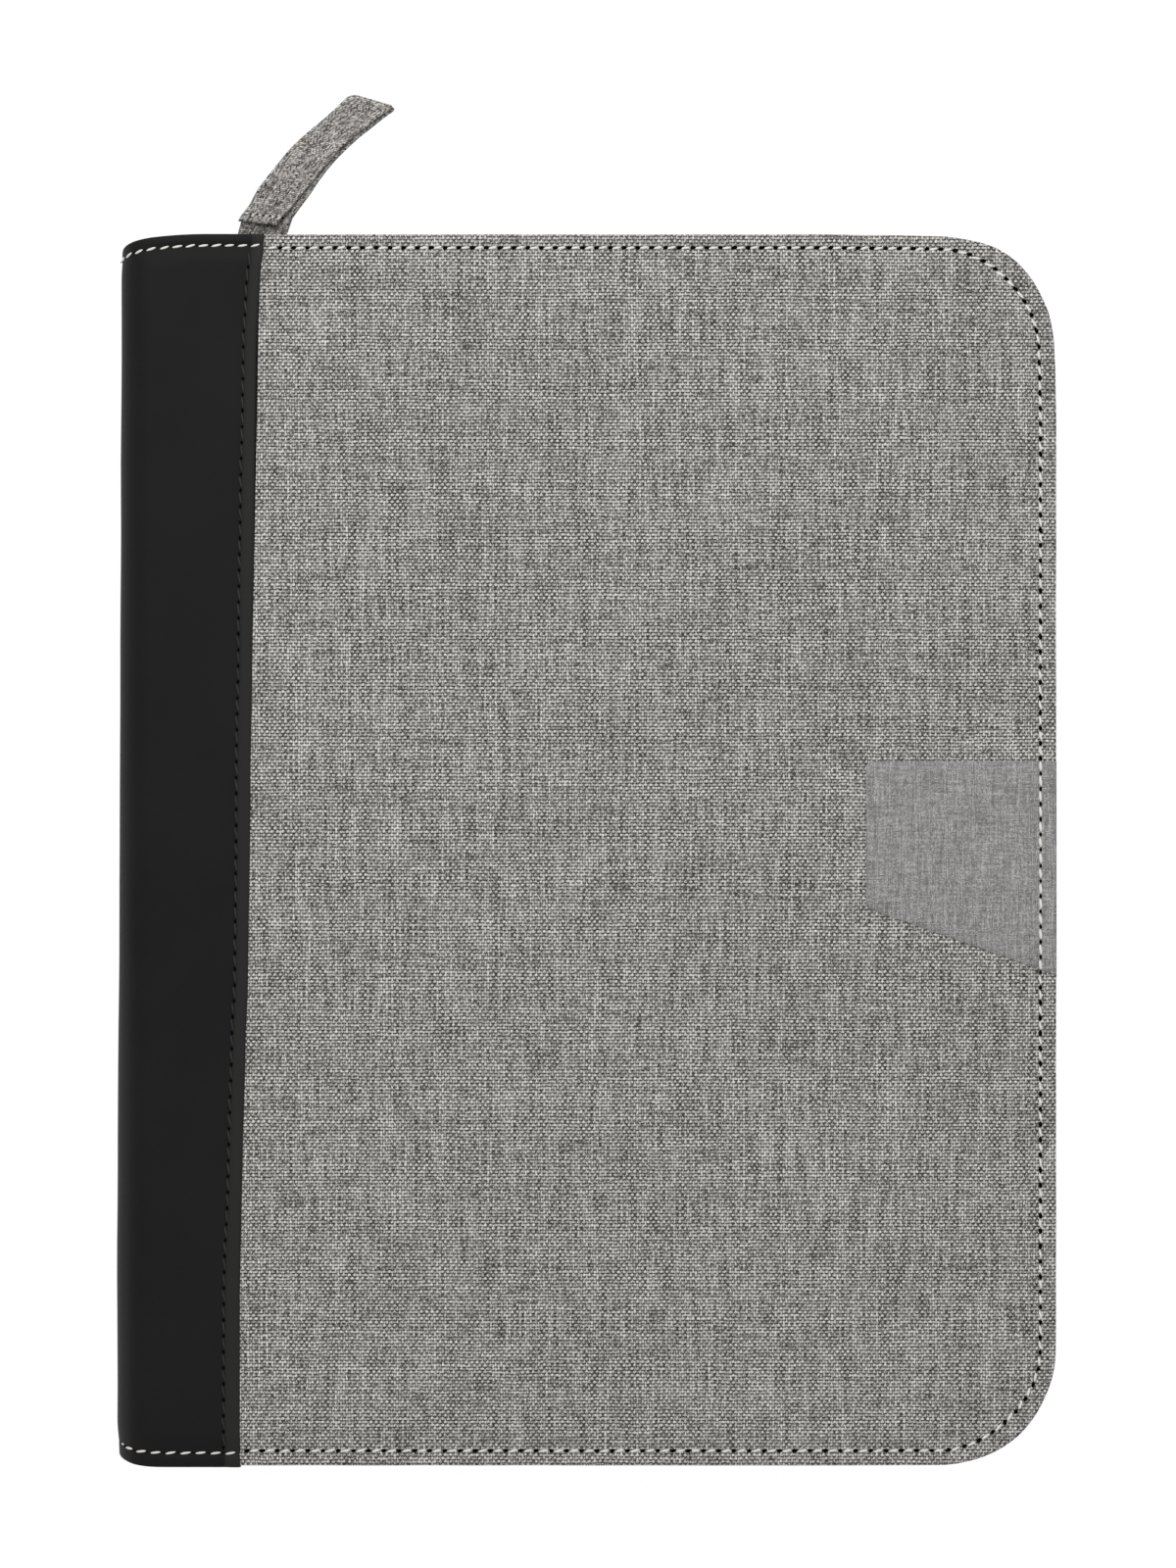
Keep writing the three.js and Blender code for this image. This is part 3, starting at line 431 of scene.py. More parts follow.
# nylon taffeta lining: fine, dark and a little shiny
liningWeave = dict(
    coverCloth, yarnX=0.4, yarnY=0.4, wander=0.2, wanderScale=0.2, slub=0.1, cloudScale=0.02, toneShare=0.4,
    speckShare=0.2, cloudShare=0.3, specks=1.0, bias=0.0, warpShare=1.0, twist=0.0, dash=0.0, column=0.0,
    stops=(0.2, 0.8), yarns=("#26262a", "#38383d"), gap="#151517", gapFrom=0.1, gapTo=0.6, bump=0.4,
    bumpDepth=0.05, roughness=0.6, specular=0.4)
liningTaffeta = wovenCloth("nylonLiningTaffeta", liningWeave)

# pocket cloth: the lining's yarn in a heavier weave
pocketNylon = wovenCloth("nylonPocketWeave", dict(
    liningWeave, yarnX=0.6, yarnY=0.6, yarns=("#222225", "#313136"), bump=0.55, roughness=0.66))

# polyester zip tape, woven with a fine rib across
tapeWeave = dict(liningWeave, uv=True, yarnX=0.45, yarnY=0.9, yarns=("#1b1b1d", "#2c2c2f"), gap="#0e0e0f",
                 bump=0.7, roughness=0.85, specular=0.25)
tapeRib = wovenCloth("wovenZipTape", tapeWeave)

# covered rubber elastic: ribbed black
elasticRib = wovenCloth("knittedElastic", dict(
    tapeWeave, uv=False, yarnX=0.5, yarnY=1.3, yarns=("#1d1d1f", "#333336"), roughness=0.8))

# spun polyester thread, off-white and black, and painted shade for a needle hole
thread = {"grain": (0.15, 0.15, 0.5), "cloud": 12, "bump": 0.5, "bumpDepth": 0.05}
paleThread = grainedSurface("paleSewingThread", dict(
    thread, dark="#e6e3db", light="#fbf9f4", roughness=0.7, specular=0.3))
blackThread = grainedSurface("blackSewingThread", dict(
    thread, dark="#262425", light="#403d3e", roughness=0.5, specular=0.2))
holeShadeLook = grainedSurface("needleHoleShade", {
    "grain": (0.2, 0.2, 0.2), "cloud": 9, "dark": "#060505", "light": "#100e0e", "bump": 0.2,
    "bumpDepth": 0.02, "roughness": 1.0, "specular": 0.0})

# injection-moulded acetal teeth: black, satin, with flow marks
toothResin = grainedSurface("mouldedAcetal", {
    "grain": (0.9, 0.9, 0.3), "cloud": 14, "dark": "#121213", "light": "#202022", "rough": (0.34, 0.5),
    "bump": 0.2, "bumpDepth": 0.03})

# nickel-plated zinc and steel: bright, with faint polishing scratches and handling haze
nickelPlate = grainedSurface("nickelPlatedSteel", {
    "grain": (0.12, 3.2, 0.12), "cloud": 18, "dark": "#b4b2ad", "light": "#cfcdc8", "rough": (0.2, 0.36),
    "bump": 0.08, "bumpDepth": 0.02, "metallic": 1.0})

# open-cell polyurethane foam, sliced sheet
foamSheet = grainedSurface("slicedFoam", {
    "grain": (0.6, 0.6, 0.6), "cloud": 22, "dark": "#2c2c2e", "light": "#47474a", "bump": 0.8,
    "bumpDepth": 0.3, "roughness": 0.95, "specular": 0.1})

# grey pulp board, rolled: brownish grey with fibres
pulpBoard = grainedSurface("rolledPulpBoard", {
    "grain": (0.5, 1.8, 0.5), "cloud": 15, "dark": "#7b6f5c", "light": "#95886f", "bump": 0.4,
    "bumpDepth": 0.06, "roughness": 0.9, "specular": 0.15})


def planPaper(name, sheet):
    # leaves show as fine lines on the cut edges, and a printed grid on the open face
    look, tree, shader = startMaterial(name, sheet)
    place = addNode(tree, "TexCoord", {}).outputs
    xyz = addNode(tree, "SeparateXYZ", {0: place["Object"]}).outputs
    perLeaf = 1000 / sheet["leaf"]
    leaf = addNode(tree, "TexNoise", {"noise_dimensions": "1D", "Scale": perLeaf, "W": xyz[2]})
    leafTone = addNode(tree, "MapRange", {0: leaf, 1: 0.35, 2: 0.65})
    edge = addNode(tree, "Mix", {"data_type": "RGBA", 0: leafTone, 6: hexColour(sheet["edgeDark"]),
                                 7: hexColour(sheet["paper"])}).outputs[2]
    lines, inked = [], []
    for axis, (low, high) in enumerate(sheet["print"]):
        cells = addNode(tree, "Math", {"operation": "MULTIPLY", 0: xyz[axis], 1: 1000 / sheet["grid"]})
        part = addNode(tree, "Math", {"operation": "PINGPONG", 0: cells, 1: 0.5})
        half = sheet["line"] / sheet["grid"] / 2
        lines.append(addNode(tree, "Math", {"operation": "LESS_THAN", 0: part, 1: half}))
        inked.append(addNode(tree, "Math", {"operation": "COMPARE", 0: xyz[axis], 1: (low + high) / 2000,
                                            2: (high - low) / 2000}))
    crossed = addNode(tree, "Math", {"operation": "MAXIMUM", 0: lines[0], 1: lines[1]})
    inside = addNode(tree, "Math", {"operation": "MULTIPLY", 0: inked[0], 1: inked[1]})
    ink = addNode(tree, "Math", {"operation": "MULTIPLY", 0: crossed, 1: inside})
    faint = addNode(tree, "Math", {"operation": "MULTIPLY", 0: ink, 1: sheet["inkShare"]})
    printed = addNode(tree, "Mix", {"data_type": "RGBA", 0: faint, 6: hexColour(sheet["paper"]),
                                    7: hexColour(sheet["ink"])}).outputs[2]
    facing = addNode(tree, "SeparateXYZ", {0: place["Normal"]}).outputs
    upward = addNode(tree, "Math", {"operation": "GREATER_THAN", 0: facing[2], 1: 0.5})
    shade = addNode(tree, "Mix", {"data_type": "RGBA", 0: upward, 6: edge, 7: printed})
    dressShader(tree, shader, shade.outputs[2], leaf, sheet)
    return look


# uncoated offset paper
leafPaper = planPaper("offsetPaper", {
    "leaf": 0.45, "paper": "#f1efe8", "edgeDark": "#c9c5b8", "ink": "#7f8b97", "grid": 5.0, "line": 0.25,
    "inkShare": 0.45, "print": ((-82, 100), (-126, 126)), "bump": 0.5, "bumpDepth": 0.1,
    "roughness": 0.9, "specular": 0.2})
print("materials made")


def finishPiece(bm, name, look, body=None, slot=None, sharp=None, replaced=()):
    # millimetres to metres; the object stays at the origin
    bmesh.ops.scale(bm, vec=(0.001, 0.001, 0.001), verts=bm.verts)
    for face in bm.faces:
        face.smooth = True
    mesh = bpy.data.meshes.new(name)
    bm.to_mesh(mesh)
    bm.free()
    if sharp:
        mesh.set_sharp_from_angle(angle=math.radians(sharp))
    mesh.materials.append(look)
    piece = bpy.data.objects.new(name, mesh)
    scene.collection.objects.link(piece)
    if replaced:
        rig.replaces(piece, *replaced)
    if slot:
        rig.slot(piece, slot)
    if body:
        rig.ride(piece, body)
    return piece


def shapedGrid(acrossCount, alongCount, place):
    # a grid whose every point is moved to place(u, v); the place's last two numbers are its UV in mm
    bm = bmesh.new()
    bmesh.ops.create_grid(bm, x_segments=acrossCount, y_segments=alongCount, size=1.0)
    flat = {vert: place(vert.co.x / 2 + 0.5, vert.co.y / 2 + 0.5) for vert in bm.verts}
    uv = bm.loops.layers.uv.new("UVMap")
    for face in bm.faces:
        for loop in face.loops:
            loop[uv].uv = flat[loop.vert][3:5]
    for vert, values in flat.items():
        vert.co = values[0:3]
    return bm


def roundOff(bm, geom, width, segments, affect="EDGES"):
    bmesh.ops.bevel(bm, geom=geom, offset=width, offset_type="OFFSET", segments=segments, profile=0.5,
                    affect=affect, material=-1, clamp_overlap=affect == "EDGES")


def cutAcross(bm, place, normal, clear=False):
    bmesh.ops.bisect_plane(bm, geom=bm.verts[:] + bm.edges[:] + bm.faces[:], plane_co=place, plane_no=normal,
                           clear_outer=clear)


def insetSteps(bm, face, rows):
    # rings further and further in from the face's edge, each set to its level
    at = 0.0
    for inset, level in rows:
        bmesh.ops.inset_region(bm, faces=[face], thickness=inset - at, use_even_offset=True,
                               use_boundary=True)
        for vert in face.verts:
            vert.co.z = level
        at = inset


def closeUp(bm):
    # a tube from a grid: its seam is merged and its ends are filled
    bmesh.ops.remove_doubles(bm, verts=bm.verts, dist=0.01)
    bmesh.ops.holes_fill(bm, edges=[e for e in bm.edges if e.is_boundary])
    bmesh.ops.recalc_face_normals(bm, faces=bm.faces)
    return bm


def softenedCopy(node, width, segments, angle):
    # a CAD node's mesh, merged, with its sharp edges rounded
    bm = bmesh.new()
    bm.from_mesh(frame["nodes"][node].data)
    bmesh.ops.scale(bm, vec=(1000, 1000, 1000), verts=bm.verts)
    bmesh.ops.remove_doubles(bm, verts=bm.verts, dist=0.002)
    bmesh.ops.dissolve_limit(bm, angle_limit=math.radians(1), verts=bm.verts, edges=bm.edges)
    edges = [e for e in bm.edges if len(e.link_faces) == 2 and e.calc_face_angle(0) > math.radians(angle)]
    roundOff(bm, edges, width, segments)
    return bm


def dressNode(node, look, body, slot, sharp, width, segments=3, angle=40, name=None):
    # a softened copy that stands for its node, by default under the node's own name
    first, *others = node.split("_")
    name = name or first + "".join(word.title() for word in others)
    return finishPiece(softenedCopy(node, width, segments, angle), name, look, body, slot, sharp, [node])


def forSide(bm, side):
    # the back cover's pieces are the front's, turned over
    if side == "Back":
        bmesh.ops.scale(bm, vec=(1, 1, -1), verts=bm.verts)
        bmesh.ops.translate(bm, vec=(0, 0, faceZ), verts=bm.verts)
        bmesh.ops.reverse_faces(bm, faces=bm.faces)
    return bm


# the case edge: the corners' centre, one corner's arc along the zip's wall and the long side between them
rim = {"x": halfWidth - case["corner"], "y": halfHeight - case["corner"], "turn": case["corner"] - wallMiddle,
       "steps": 16}
rim["arc"] = rim["turn"] * math.pi / 2
rim["side"] = 2 * rim["y"]


def rimPlace(distance, inset, startX):
    # place and outward direction on a line that follows the case edge from the head to the foot
    radius = case["corner"] - inset
    left = distance - (rim["x"] - startX)
    if left <= 0:
        return Vector((startX + distance, halfHeight - inset)), Vector((0, 1))
    if left <= rim["arc"]:
        angle = math.pi / 2 - left / rim["turn"]
        out = Vector((math.cos(angle), math.sin(angle)))
        return Vector((rim["x"], rim["y"])) + radius * out, out
    left -= rim["arc"]
    if left <= rim["side"]:
        return Vector((halfWidth - inset, rim["y"] - left)), Vector((1, 0))
    left -= rim["side"]
    if left <= rim["arc"]:
        angle = -left / rim["turn"]
        out = Vector((math.cos(angle), math.sin(angle)))
        return Vector((rim["x"], -rim["y"])) + radius * out, out
    return Vector((rim["x"] - (left - rim["arc"]), inset - halfHeight)), Vector((0, -1))


def rimWhole(startX, endX):
    return 2 * (rim["x"] + rim["arc"]) + rim["side"] - startX - endX


def rimStations(startX, before, between, after):
    # distances along the rim: some before the corners, even steps round them and between, some after
    first = rim["x"] - startX
    second = first + rim["arc"] + rim["side"]
    turn = [rim["arc"] * n / rim["steps"] for n in range(rim["steps"] + 1)]
    stations = [s for s in before if s < first] + [first + s for s in turn]
    stations += [first + rim["arc"] + rim["side"] * n / between for n in range(1, between)]
    stations += [second + s for s in turn]
    return stations + [s for s in after if s > second + rim["arc"]]


# camera: looks straight down on the front cover
lens = {"above": 1500.0, "centreX": 0.0, "centreY": 18.2, "seenHeight": 432.4, "sensor": 36}
camera = bpy.data.objects.new("camera", bpy.data.cameras.new("camera"))
camera.data.sensor_width = lens["sensor"]
camera.data.lens = lens["sensor"] * lens["above"] / lens["seenHeight"]
camera.data.clip_end = 20
camera.location = Vector((lens["centreX"], lens["centreY"], faceZ + lens["above"])) / 1000
scene.collection.objects.link(camera)
scene.camera = camera

# floor: bright to the camera and in reflections, a plain pale floor to everything else
floorPaint = {"colour": "#e4e4e4", "glow": 1.11, "share": 0.86, "size": 6000, "below": 0.05}
floorLook = bpy.data.materials.new("paintedFloor")
floorTree = emptyTree(floorLook)
paint = addNode(floorTree, "BsdfDiffuse", {"Color": hexColour(floorPaint["colour"])})
bright = addNode(floorTree, "Emission", {"Color": (1, 1, 1, 1), "Strength": floorPaint["glow"]})
rays = addNode(floorTree, "LightPath", {}).outputs
seen = rays["Is Camera Ray"]
for kind in ("Is Glossy Ray", "Is Transmission Ray"):
    seen = addNode(floorTree, "Math", {"operation": "MAXIMUM", 0: seen, 1: rays[kind]})
share = addNode(floorTree, "Math", {"operation": "MULTIPLY", 0: seen, 1: floorPaint["share"]})
blended = addNode(floorTree, "MixShader", {0: share, 1: paint, 2: bright})
addNode(floorTree, "OutputMaterial", {"Surface": blended})
bm = bmesh.new()
bmesh.ops.create_grid(bm, x_segments=4, y_segments=4, size=floorPaint["size"])
bmesh.ops.translate(bm, vec=(0, 0, -floorPaint["below"]), verts=bm.verts)
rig.stage(finishPiece(bm, "floor", floorLook))

# soft studio light: an even sky and one broad box above the head of the planner
light = {"sky": 0.6, "backdrop": 1.0, "box": 6.2, "boxSize": 0.9, "boxPlace": (-0.15, 0.75, 0.95)}
scene.world = bpy.data.worlds.new("studio")
worldTree = emptyTree(scene.world)
sky = addNode(worldTree, "Background", {"Color": (1, 1, 1, 1), "Strength": light["sky"]})
backdrop = addNode(worldTree, "Background", {"Color": (1, 1, 1, 1), "Strength": light["backdrop"]})
rays = addNode(worldTree, "LightPath", {}).outputs
chosen = addNode(worldTree, "MixShader", {0: rays["Is Camera Ray"], 1: sky, 2: backdrop})
addNode(worldTree, "OutputWorld", {"Surface": chosen})
box = bpy.data.objects.new("softBox", bpy.data.lights.new("softBox", "AREA"))
box.data.energy = light["box"]
box.data.size = light["boxSize"]
box.location = light["boxPlace"]
box.rotation_euler = (Vector((0, 0, 0)) - Vector(light["boxPlace"])).to_track_quat("-Z", "Y").to_euler()
scene.collection.objects.link(box)
print("camera, floor and light made")


# cover cloth: the levels are below the face, the cells are cut so that the face can be shaped
cover = {"edgeLow": 2.35, "left": -116.0, "cornerSteps": 28, "tucked": 1.0,
         "under": [(0.15, 2.6), (0.7, 2.8), (8.6, 2.8), (9.4, case["shell"])],
         "cellsX": range(-88, 122, 7), "cellsY": range(-161, 168, 7)}
# the padded face sags a little, the sewn edge wavers, and the needle line keeps nearer the head
uneven = {"edgeReach": 26, "sewn": 4, "sag": 0.16, "sagFrom": 0.35, "sagX": 55, "sagY": 70, "sagFade": 12,
          "waver": 0.2, "waverX": 30, "waverY": 34, "rightOf": 100, "beyond": 140, "headShift": 0.4,
          "sideShift": 0.25}
needleShift = [(0, 0), (4.2, 1), (12, 0)]
# how far the edges come in beside the corners, by place along them: the corners are fuller than an arc
cornerPull = {
    "head": {"alongEnd": [(60, 0), (82, 0.2), (97, 0.5), (104, 0.5), (112, 0.1), (120, -0.35), (129, 0)],
             "alongSide": [(120, 0), (131, 0.2), (138, 0.5), (143, 0.5), (150, 0.1), (159, -0.35), (169, 0)]},
    "foot": {"alongEnd": [(70, 0), (92, 0.1), (104, 0.1), (112, -0.15), (120, -0.35), (129, 0)],
             "alongSide": [(125, 0), (138, 0.1), (146, 0), (159, -0.3), (169, 0)]},
}


def faceDrop(inset):
    return readTable(hemProfile, inset)


def shapeFace(point):
    # moves a place on the cover's face to where the real, uneven face has it
    inset = min(halfWidth - point.x, halfHeight - abs(point.y))
    nearHead, nearSide = halfHeight - point.y, halfWidth - point.x
    near = held(1 - inset / uneven["edgeReach"])
    end = math.copysign(1.0, point.y)
    pulls = cornerPull["head" if end > 0 else "foot"]
    down = near * readTable(pulls["alongEnd"], point.x)
    inward = near * readTable(pulls["alongSide"], abs(point.y))
    if inset > uneven["sewn"]:
        swell = noise.noise(Vector((point.x / uneven["sagX"], point.y / uneven["sagY"], 3.0)))
        fade = min((inset - uneven["sewn"]) / uneven["sagFade"], 1)
        point.z += uneven["sag"] * min(swell - uneven["sagFrom"], 0.0) * fade
    else:
        waver = noise.noise(Vector((point.x / uneven["waverX"], point.y / uneven["waverY"], 8.0)))
        inward += uneven["waver"] * abs(waver) if point.x > uneven["rightOf"] else 0
        down += uneven["waver"] * abs(waver) if abs(point.y) > uneven["beyond"] else 0
    point.y += uneven["headShift"] * readTable(needleShift, nearHead)
    point.x -= uneven["sideShift"] * readTable(needleShift, nearSide)
    point.x -= inward
    point.y -= end * down


def coverFabric():
    # grey cloth of one cover: rounded hem, needle line and slope up to the padded face
    low = faceZ - cover["edgeLow"]
    bm = bmesh.new()
    corners = [bm.verts.new((x, y, low)) for x, y in (
        (cover["left"], -halfHeight), (halfWidth, -halfHeight), (halfWidth, halfHeight),
        (cover["left"], halfHeight))]
    bm.faces.new(corners)
    roundOff(bm, corners[1:3], case["corner"], cover["cornerSteps"], "VERTICES")
    base = bm.faces[:][0]
    made = bmesh.ops.extrude_face_region(bm, geom=[base], use_keep_orig=True)
    roof = [f for f in made["geom"] if isinstance(f, bmesh.types.BMFace)][0]
    bmesh.ops.translate(bm, vec=(0, 0, faceZ - hemProfile[0][1] - low), verts=roof.verts)
    bmesh.ops.recalc_face_normals(bm, faces=bm.faces)
    insetSteps(bm, roof, [(inset, faceZ - drop) for inset, drop in hemProfile[1:]])
    insetSteps(bm, base, [(inset, faceZ - drop) for inset, drop in cover["under"]])
    # cut off just under the black's turned edge, then cut into cells
    slope = (seamLine[-1][1] - seamLine[0][1]) / (2 * halfHeight)
    middleX = (seamLine[-1][1] + seamLine[0][1]) / 2 - cover["tucked"]
    cutAcross(bm, (middleX, 0, 0), (-1, slope, 0), True)
    bmesh.ops.holes_fill(bm, edges=[e for e in bm.edges if e.is_boundary])
    for x in cover["cellsX"]:
        cutAcross(bm, (x, 0, 0), (1, 0, 0))
    for y in cover["cellsY"]:
        cutAcross(bm, (0, y, 0), (0, 1, 0))
    for vert in bm.verts:
        shapeFace(vert.co)
    return bm


for side, body in bodies.items():
    finishPiece(forSide(coverFabric(), side), side.lower() + "CoverCloth", heather, body, "cover_fabric", 50,
                [side.lower() + "_shell"])
print("cover cloth made")

# black wrap: each half runs from its cover's seam round the fold to the middle of the spine
wrap = {"thickness": 1.4, "flatSteps": 8, "foldSteps": 14, "spineSteps": 6, "hemHead": 3.3, "hemFoot": 4.0,
        "groove": 0.4, "grooveFrom": 3.2, "grooveTo": 3.8, "ripple": 0.12, "rippleFrom": 12,
        "rippleSize": (16, 24, 14), "swellFrom": 3, "swellOver": 9, "fade": 0.85, "fadeFrom": 4,
        "fadeOver": 9, "letOut": 0.45, "letOutOver": 10}
# the needle line's distance from the seam, by place up the cover
needleGap = [(-170, 4.6), (-134, 4.6), (-80, 4.0), (-26, 3.8), (28, 4.0), (82, 4.0), (137, 3.6), (170, 3.5)]
usualGap = 3.5
# the turned edge's rise over the padded face, by distance from the seam
seamProfile = [(0.0, -0.45), (0.06, 0.0), (0.3, 0.34), (0.9, 0.48), (2.0, 0.44), (2.8, 0.22), (3.3, -0.02),
               (3.7, -0.02), (4.3, 0.1), (5.5, 0.06), (8.0, 0.0)]
# how far the spine swells past its flat face, by place up the case
spineSwell = [(-168, 1.1), (-158, 1.5), (-117, 1.7), (-90, 1.5), (0, 0.9), (100, 0.5), (153, 0.2), (168, 0.0)]
# how far the black's ends draw in over the fold: full amount, where it starts, and what it starts from
endDraw = {"head": (4.5, -105.0, -0.1), "foot": (2.6, -115.0, -0.45)}


def hemInset(y):
    return wrap["hemHead"] if y > 0 else wrap["hemFoot"]


# the wrap's rows of points, as shares of the half height: the hems' own, and even ones between
stationsY = [s * (1 - i * hemInset(s) / needleInset / halfHeight) for i, _ in hemProfile for s in (-1, 1)]
stationsY = sorted(stationsY + [n / 17 for n in range(-15, 16)])


def wrapEnd(x, y, z=faceZ):
    # draws a place on the wrap in towards the middle of the spine, along a quarter ellipse over the fold
    full, start, base = endDraw["head" if y > 0 else "foot"]
    past = held((start - x) / (start + halfWidth))
    draw = base + full * (1 - math.sqrt(1 - past * past))
    # and lets it out again down the spine
    draw *= 1 - wrap["letOut"] * held((faceZ - case["fold"] - z) / wrap["letOutOver"])
    return y * (1 - draw / halfHeight)


def wrapDrop(inset, x, y):
    # the hem's fall on the black, fading over the fold
    past = held((foldX + wrap["fadeFrom"] - x) / wrap["fadeOver"])
    return faceDrop(inset * needleInset / hemInset(y)) * (1 - wrap["fade"] * past)


def wrapSection(y, lift):
    # places from the seam to the middle of the spine: x, z, outward x, outward z
    seamX, stretch = readTable(seamLine, y), readTable(needleGap, y) / usualGap
    points = []
    for distance, rise in seamProfile:
        groove = wrap["groove"] if wrap["grooveFrom"] < distance < wrap["grooveTo"] else 0
        points.append((seamX - distance * stretch, faceZ + (rise if lift else min(rise, 0) - groove), 0, 1))
    start = points[-1][0]
    for n in range(1, wrap["flatSteps"] + 1):
        points.append((start + (foldX - start) * n / wrap["flatSteps"], faceZ, 0, 1))
    middleZ = faceZ - case["fold"]
    for n in range(1, wrap["foldSteps"] + 1):
        angle = math.pi / 2 * (1 + n / wrap["foldSteps"])
        outX, outZ = math.cos(angle), math.sin(angle)
        points.append((foldX + case["fold"] * outX, middleZ + case["fold"] * outZ, outX, outZ))
    for n in range(1, wrap["spineSteps"] + 1):
        points.append((-halfWidth, middleZ + (faceZ / 2 - middleZ) * n / wrap["spineSteps"], -1, 0))
    return points


def wrapHalf(lift):
    count = len(wrapSection(0, lift))

    def place(u, v):
        share = stationsY[round(v * (len(stationsY) - 1))]
        y = share * halfHeight
        x, z, outX, outZ = wrapSection(y, lift)[round(u * (count - 1))]
        along = (readTable(seamLine, y) - x) * usualGap / readTable(needleGap, y)
        inset = halfHeight - abs(share) * halfHeight
        drop = wrapDrop(inset, x, share)
        y = wrapEnd(x, y, z)
        ripple = 0
        if inset > wrap["rippleFrom"]:
            spot = Vector([at / size for at, size in zip((x, y, z), wrap["rippleSize"])])
            ripple = wrap["ripple"] * (noise.noise(spot) - 0.5)
        x += outX * (ripple - drop)
        z += outZ * (min(ripple, 0) - drop)
        return x, y, z, along, y

    bm = shapedGrid(count - 1, len(stationsY) - 1, place)
    if sum(f.normal.z * f.calc_area() for f in bm.faces) < 0:
        bmesh.ops.reverse_faces(bm, faces=bm.faces)
    outer = bm.verts[:]
    bmesh.ops.solidify(bm, geom=bm.faces[:], thickness=wrap["thickness"])
    # only the outer face swells, so that the wrap still shows inside when the planner lies open
    for vert in outer:
        part = held((faceZ - wrap["swellFrom"] - vert.co.z) / wrap["swellOver"])
        vert.co.x -= readTable(spineSwell, vert.co.y) * eased(part)
    return bm


for side, lift, alsoReplaced in (("Front", True, []), ("Back", False, ["spine_panel"])):
    low = side.lower()
    piece = finishPiece(forSide(wrapHalf(lift), side), "blackWrap" + side, coatedBlack, None, "spine_coating",
                        60, ["spine_wrap_" + low, "spine_fold_" + low] + alsoReplaced)
    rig.blend(piece, bodies[side], "spine", **foldEnds[side])
print("black wrap made")

# how stitches differ: turned by degrees either way, shorter or longer, to the side, and in their holes
handWork = {"turn": 4, "length": (0.93, 1.05), "side": 0.06, "hole": (0.85, 1.15)}
holeShape = {"narrow": 0.68, "depth": 0.3}


def sewnThread(threads, holeShades, place, direction, up, stitch):
    # one stitch: a thread, and a dark bead of painted shade for the needle hole between it and the next
    side = up.cross(direction).normalized()
    angle = stitch["slant"] + rng.uniform(-handWork["turn"], handWork["turn"])
    ahead = (Matrix.Rotation(math.radians(angle), 3, up) @ direction).normalized()
    across = up.cross(ahead).normalized()
    turned = Matrix((ahead, across, up)).transposed().to_4x4()
    length = stitch["length"] / 2 * rng.uniform(*handWork["length"])
    size = Matrix.Diagonal((length, stitch["width"] / 2, stitch["rise"], 1))
    spot = place + up * stitch["sit"] + side * rng.uniform(-handWork["side"], handWork["side"])
    threads.append(Matrix.Translation(spot) @ turned @ size @ Matrix.Rotation(math.pi / 2, 4, "Y"))
    long, narrow = stitch["hole"] * rng.uniform(*handWork["hole"]), stitch["hole"] * holeShape["narrow"]
    size = Matrix.Diagonal((long, narrow, holeShape["depth"], 1))
    spot = place + direction * stitch["pitch"] / 2 + up * stitch["holeSit"]
    holeShades.append(Matrix.Translation(spot) @ turned @ size)


def roundBeads(places):
    # many small rounded beads, made in batches so that each stays quick
    whole = bmesh.new()
    for start in range(0, len(places), 12):
        batch = bmesh.new()
        for place in places[start:start + 12]:
            bmesh.ops.create_uvsphere(batch, u_segments=8, v_segments=6, radius=1, matrix=place)
        part = bpy.data.meshes.new("batch")
        batch.to_mesh(part)
        batch.free()
        whole.from_mesh(part)
        bpy.data.meshes.remove(part)
    return whole


def stitchPieces(name, rows, thread, body, slot, side="", blended=False):
    # a row's threads and the painted shade of its needle holes, as two pieces
    for places, kind, look in zip(rows, ("Thread", "HoleShadeBeads"), (thread, holeShadeLook)):
        bm = forSide(roundBeads(places), side)
        piece = finishPiece(bm, name % kind, look, None if blended else body, slot)
        if blended:
            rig.blend(piece, body, "spine", **foldEnds[side])


# perimeter stitches: pale on the black, half sunk in the grey, full on the patch
greyStitch = {"pitch": 4.2, "length": 2.6, "width": 0.78, "rise": 0.34, "sit": 0.04, "slant": 12, "hole": 0.8,
              "holeSit": 0.16}
patchStitch = dict(greyStitch, length=2.9, width=0.92, sit=0.22, hole=0.64, slant=9, holeSit=0.22)
blackStitch = dict(greyStitch, pitch=3.6, length=2.8, width=0.68, sit=0.12, slant=11, hole=0.3, holeSit=0.0)
footStitch = dict(blackStitch, pitch=4.15, length=3.0)
seamStitch = {"pitch": 4.4, "length": 3.4, "width": 0.62, "rise": 0.26, "sit": 0.03, "slant": 12,
              "hole": 0.52, "holeSit": 0.1}
# where the rows start and end, how much further in the edge's row keeps round the corners, and how much
# shorter its step is along the head
edgeRow = {"startX": -88.0, "endX": -94.0, "first": 0.8, "cornerIn": 1.2, "shorter": 0.4}
wrapRow = {"sectionY": 168, "afterSeam": 0.5, "down": 7.5, "first": 1.6}
seamRow = {"head": 163.0, "foot": -164, "raised": 0.02, "flat": -0.42}
patch = {"left": 76.7, "top": 24.5, "short": 40.5, "slant": 19.5, "corner": 2.0, "rise": 0.42,
         "rimRise": 0.16, "rim": 0.25, "pressed": 0.1, "reach": 58, "over": 3.0, "cell": 6, "thickness": 0.3,
         "proud": 0.08, "turned": (0.8, 1.6), "turnedSlope": 0.3, "eased": 0.05}


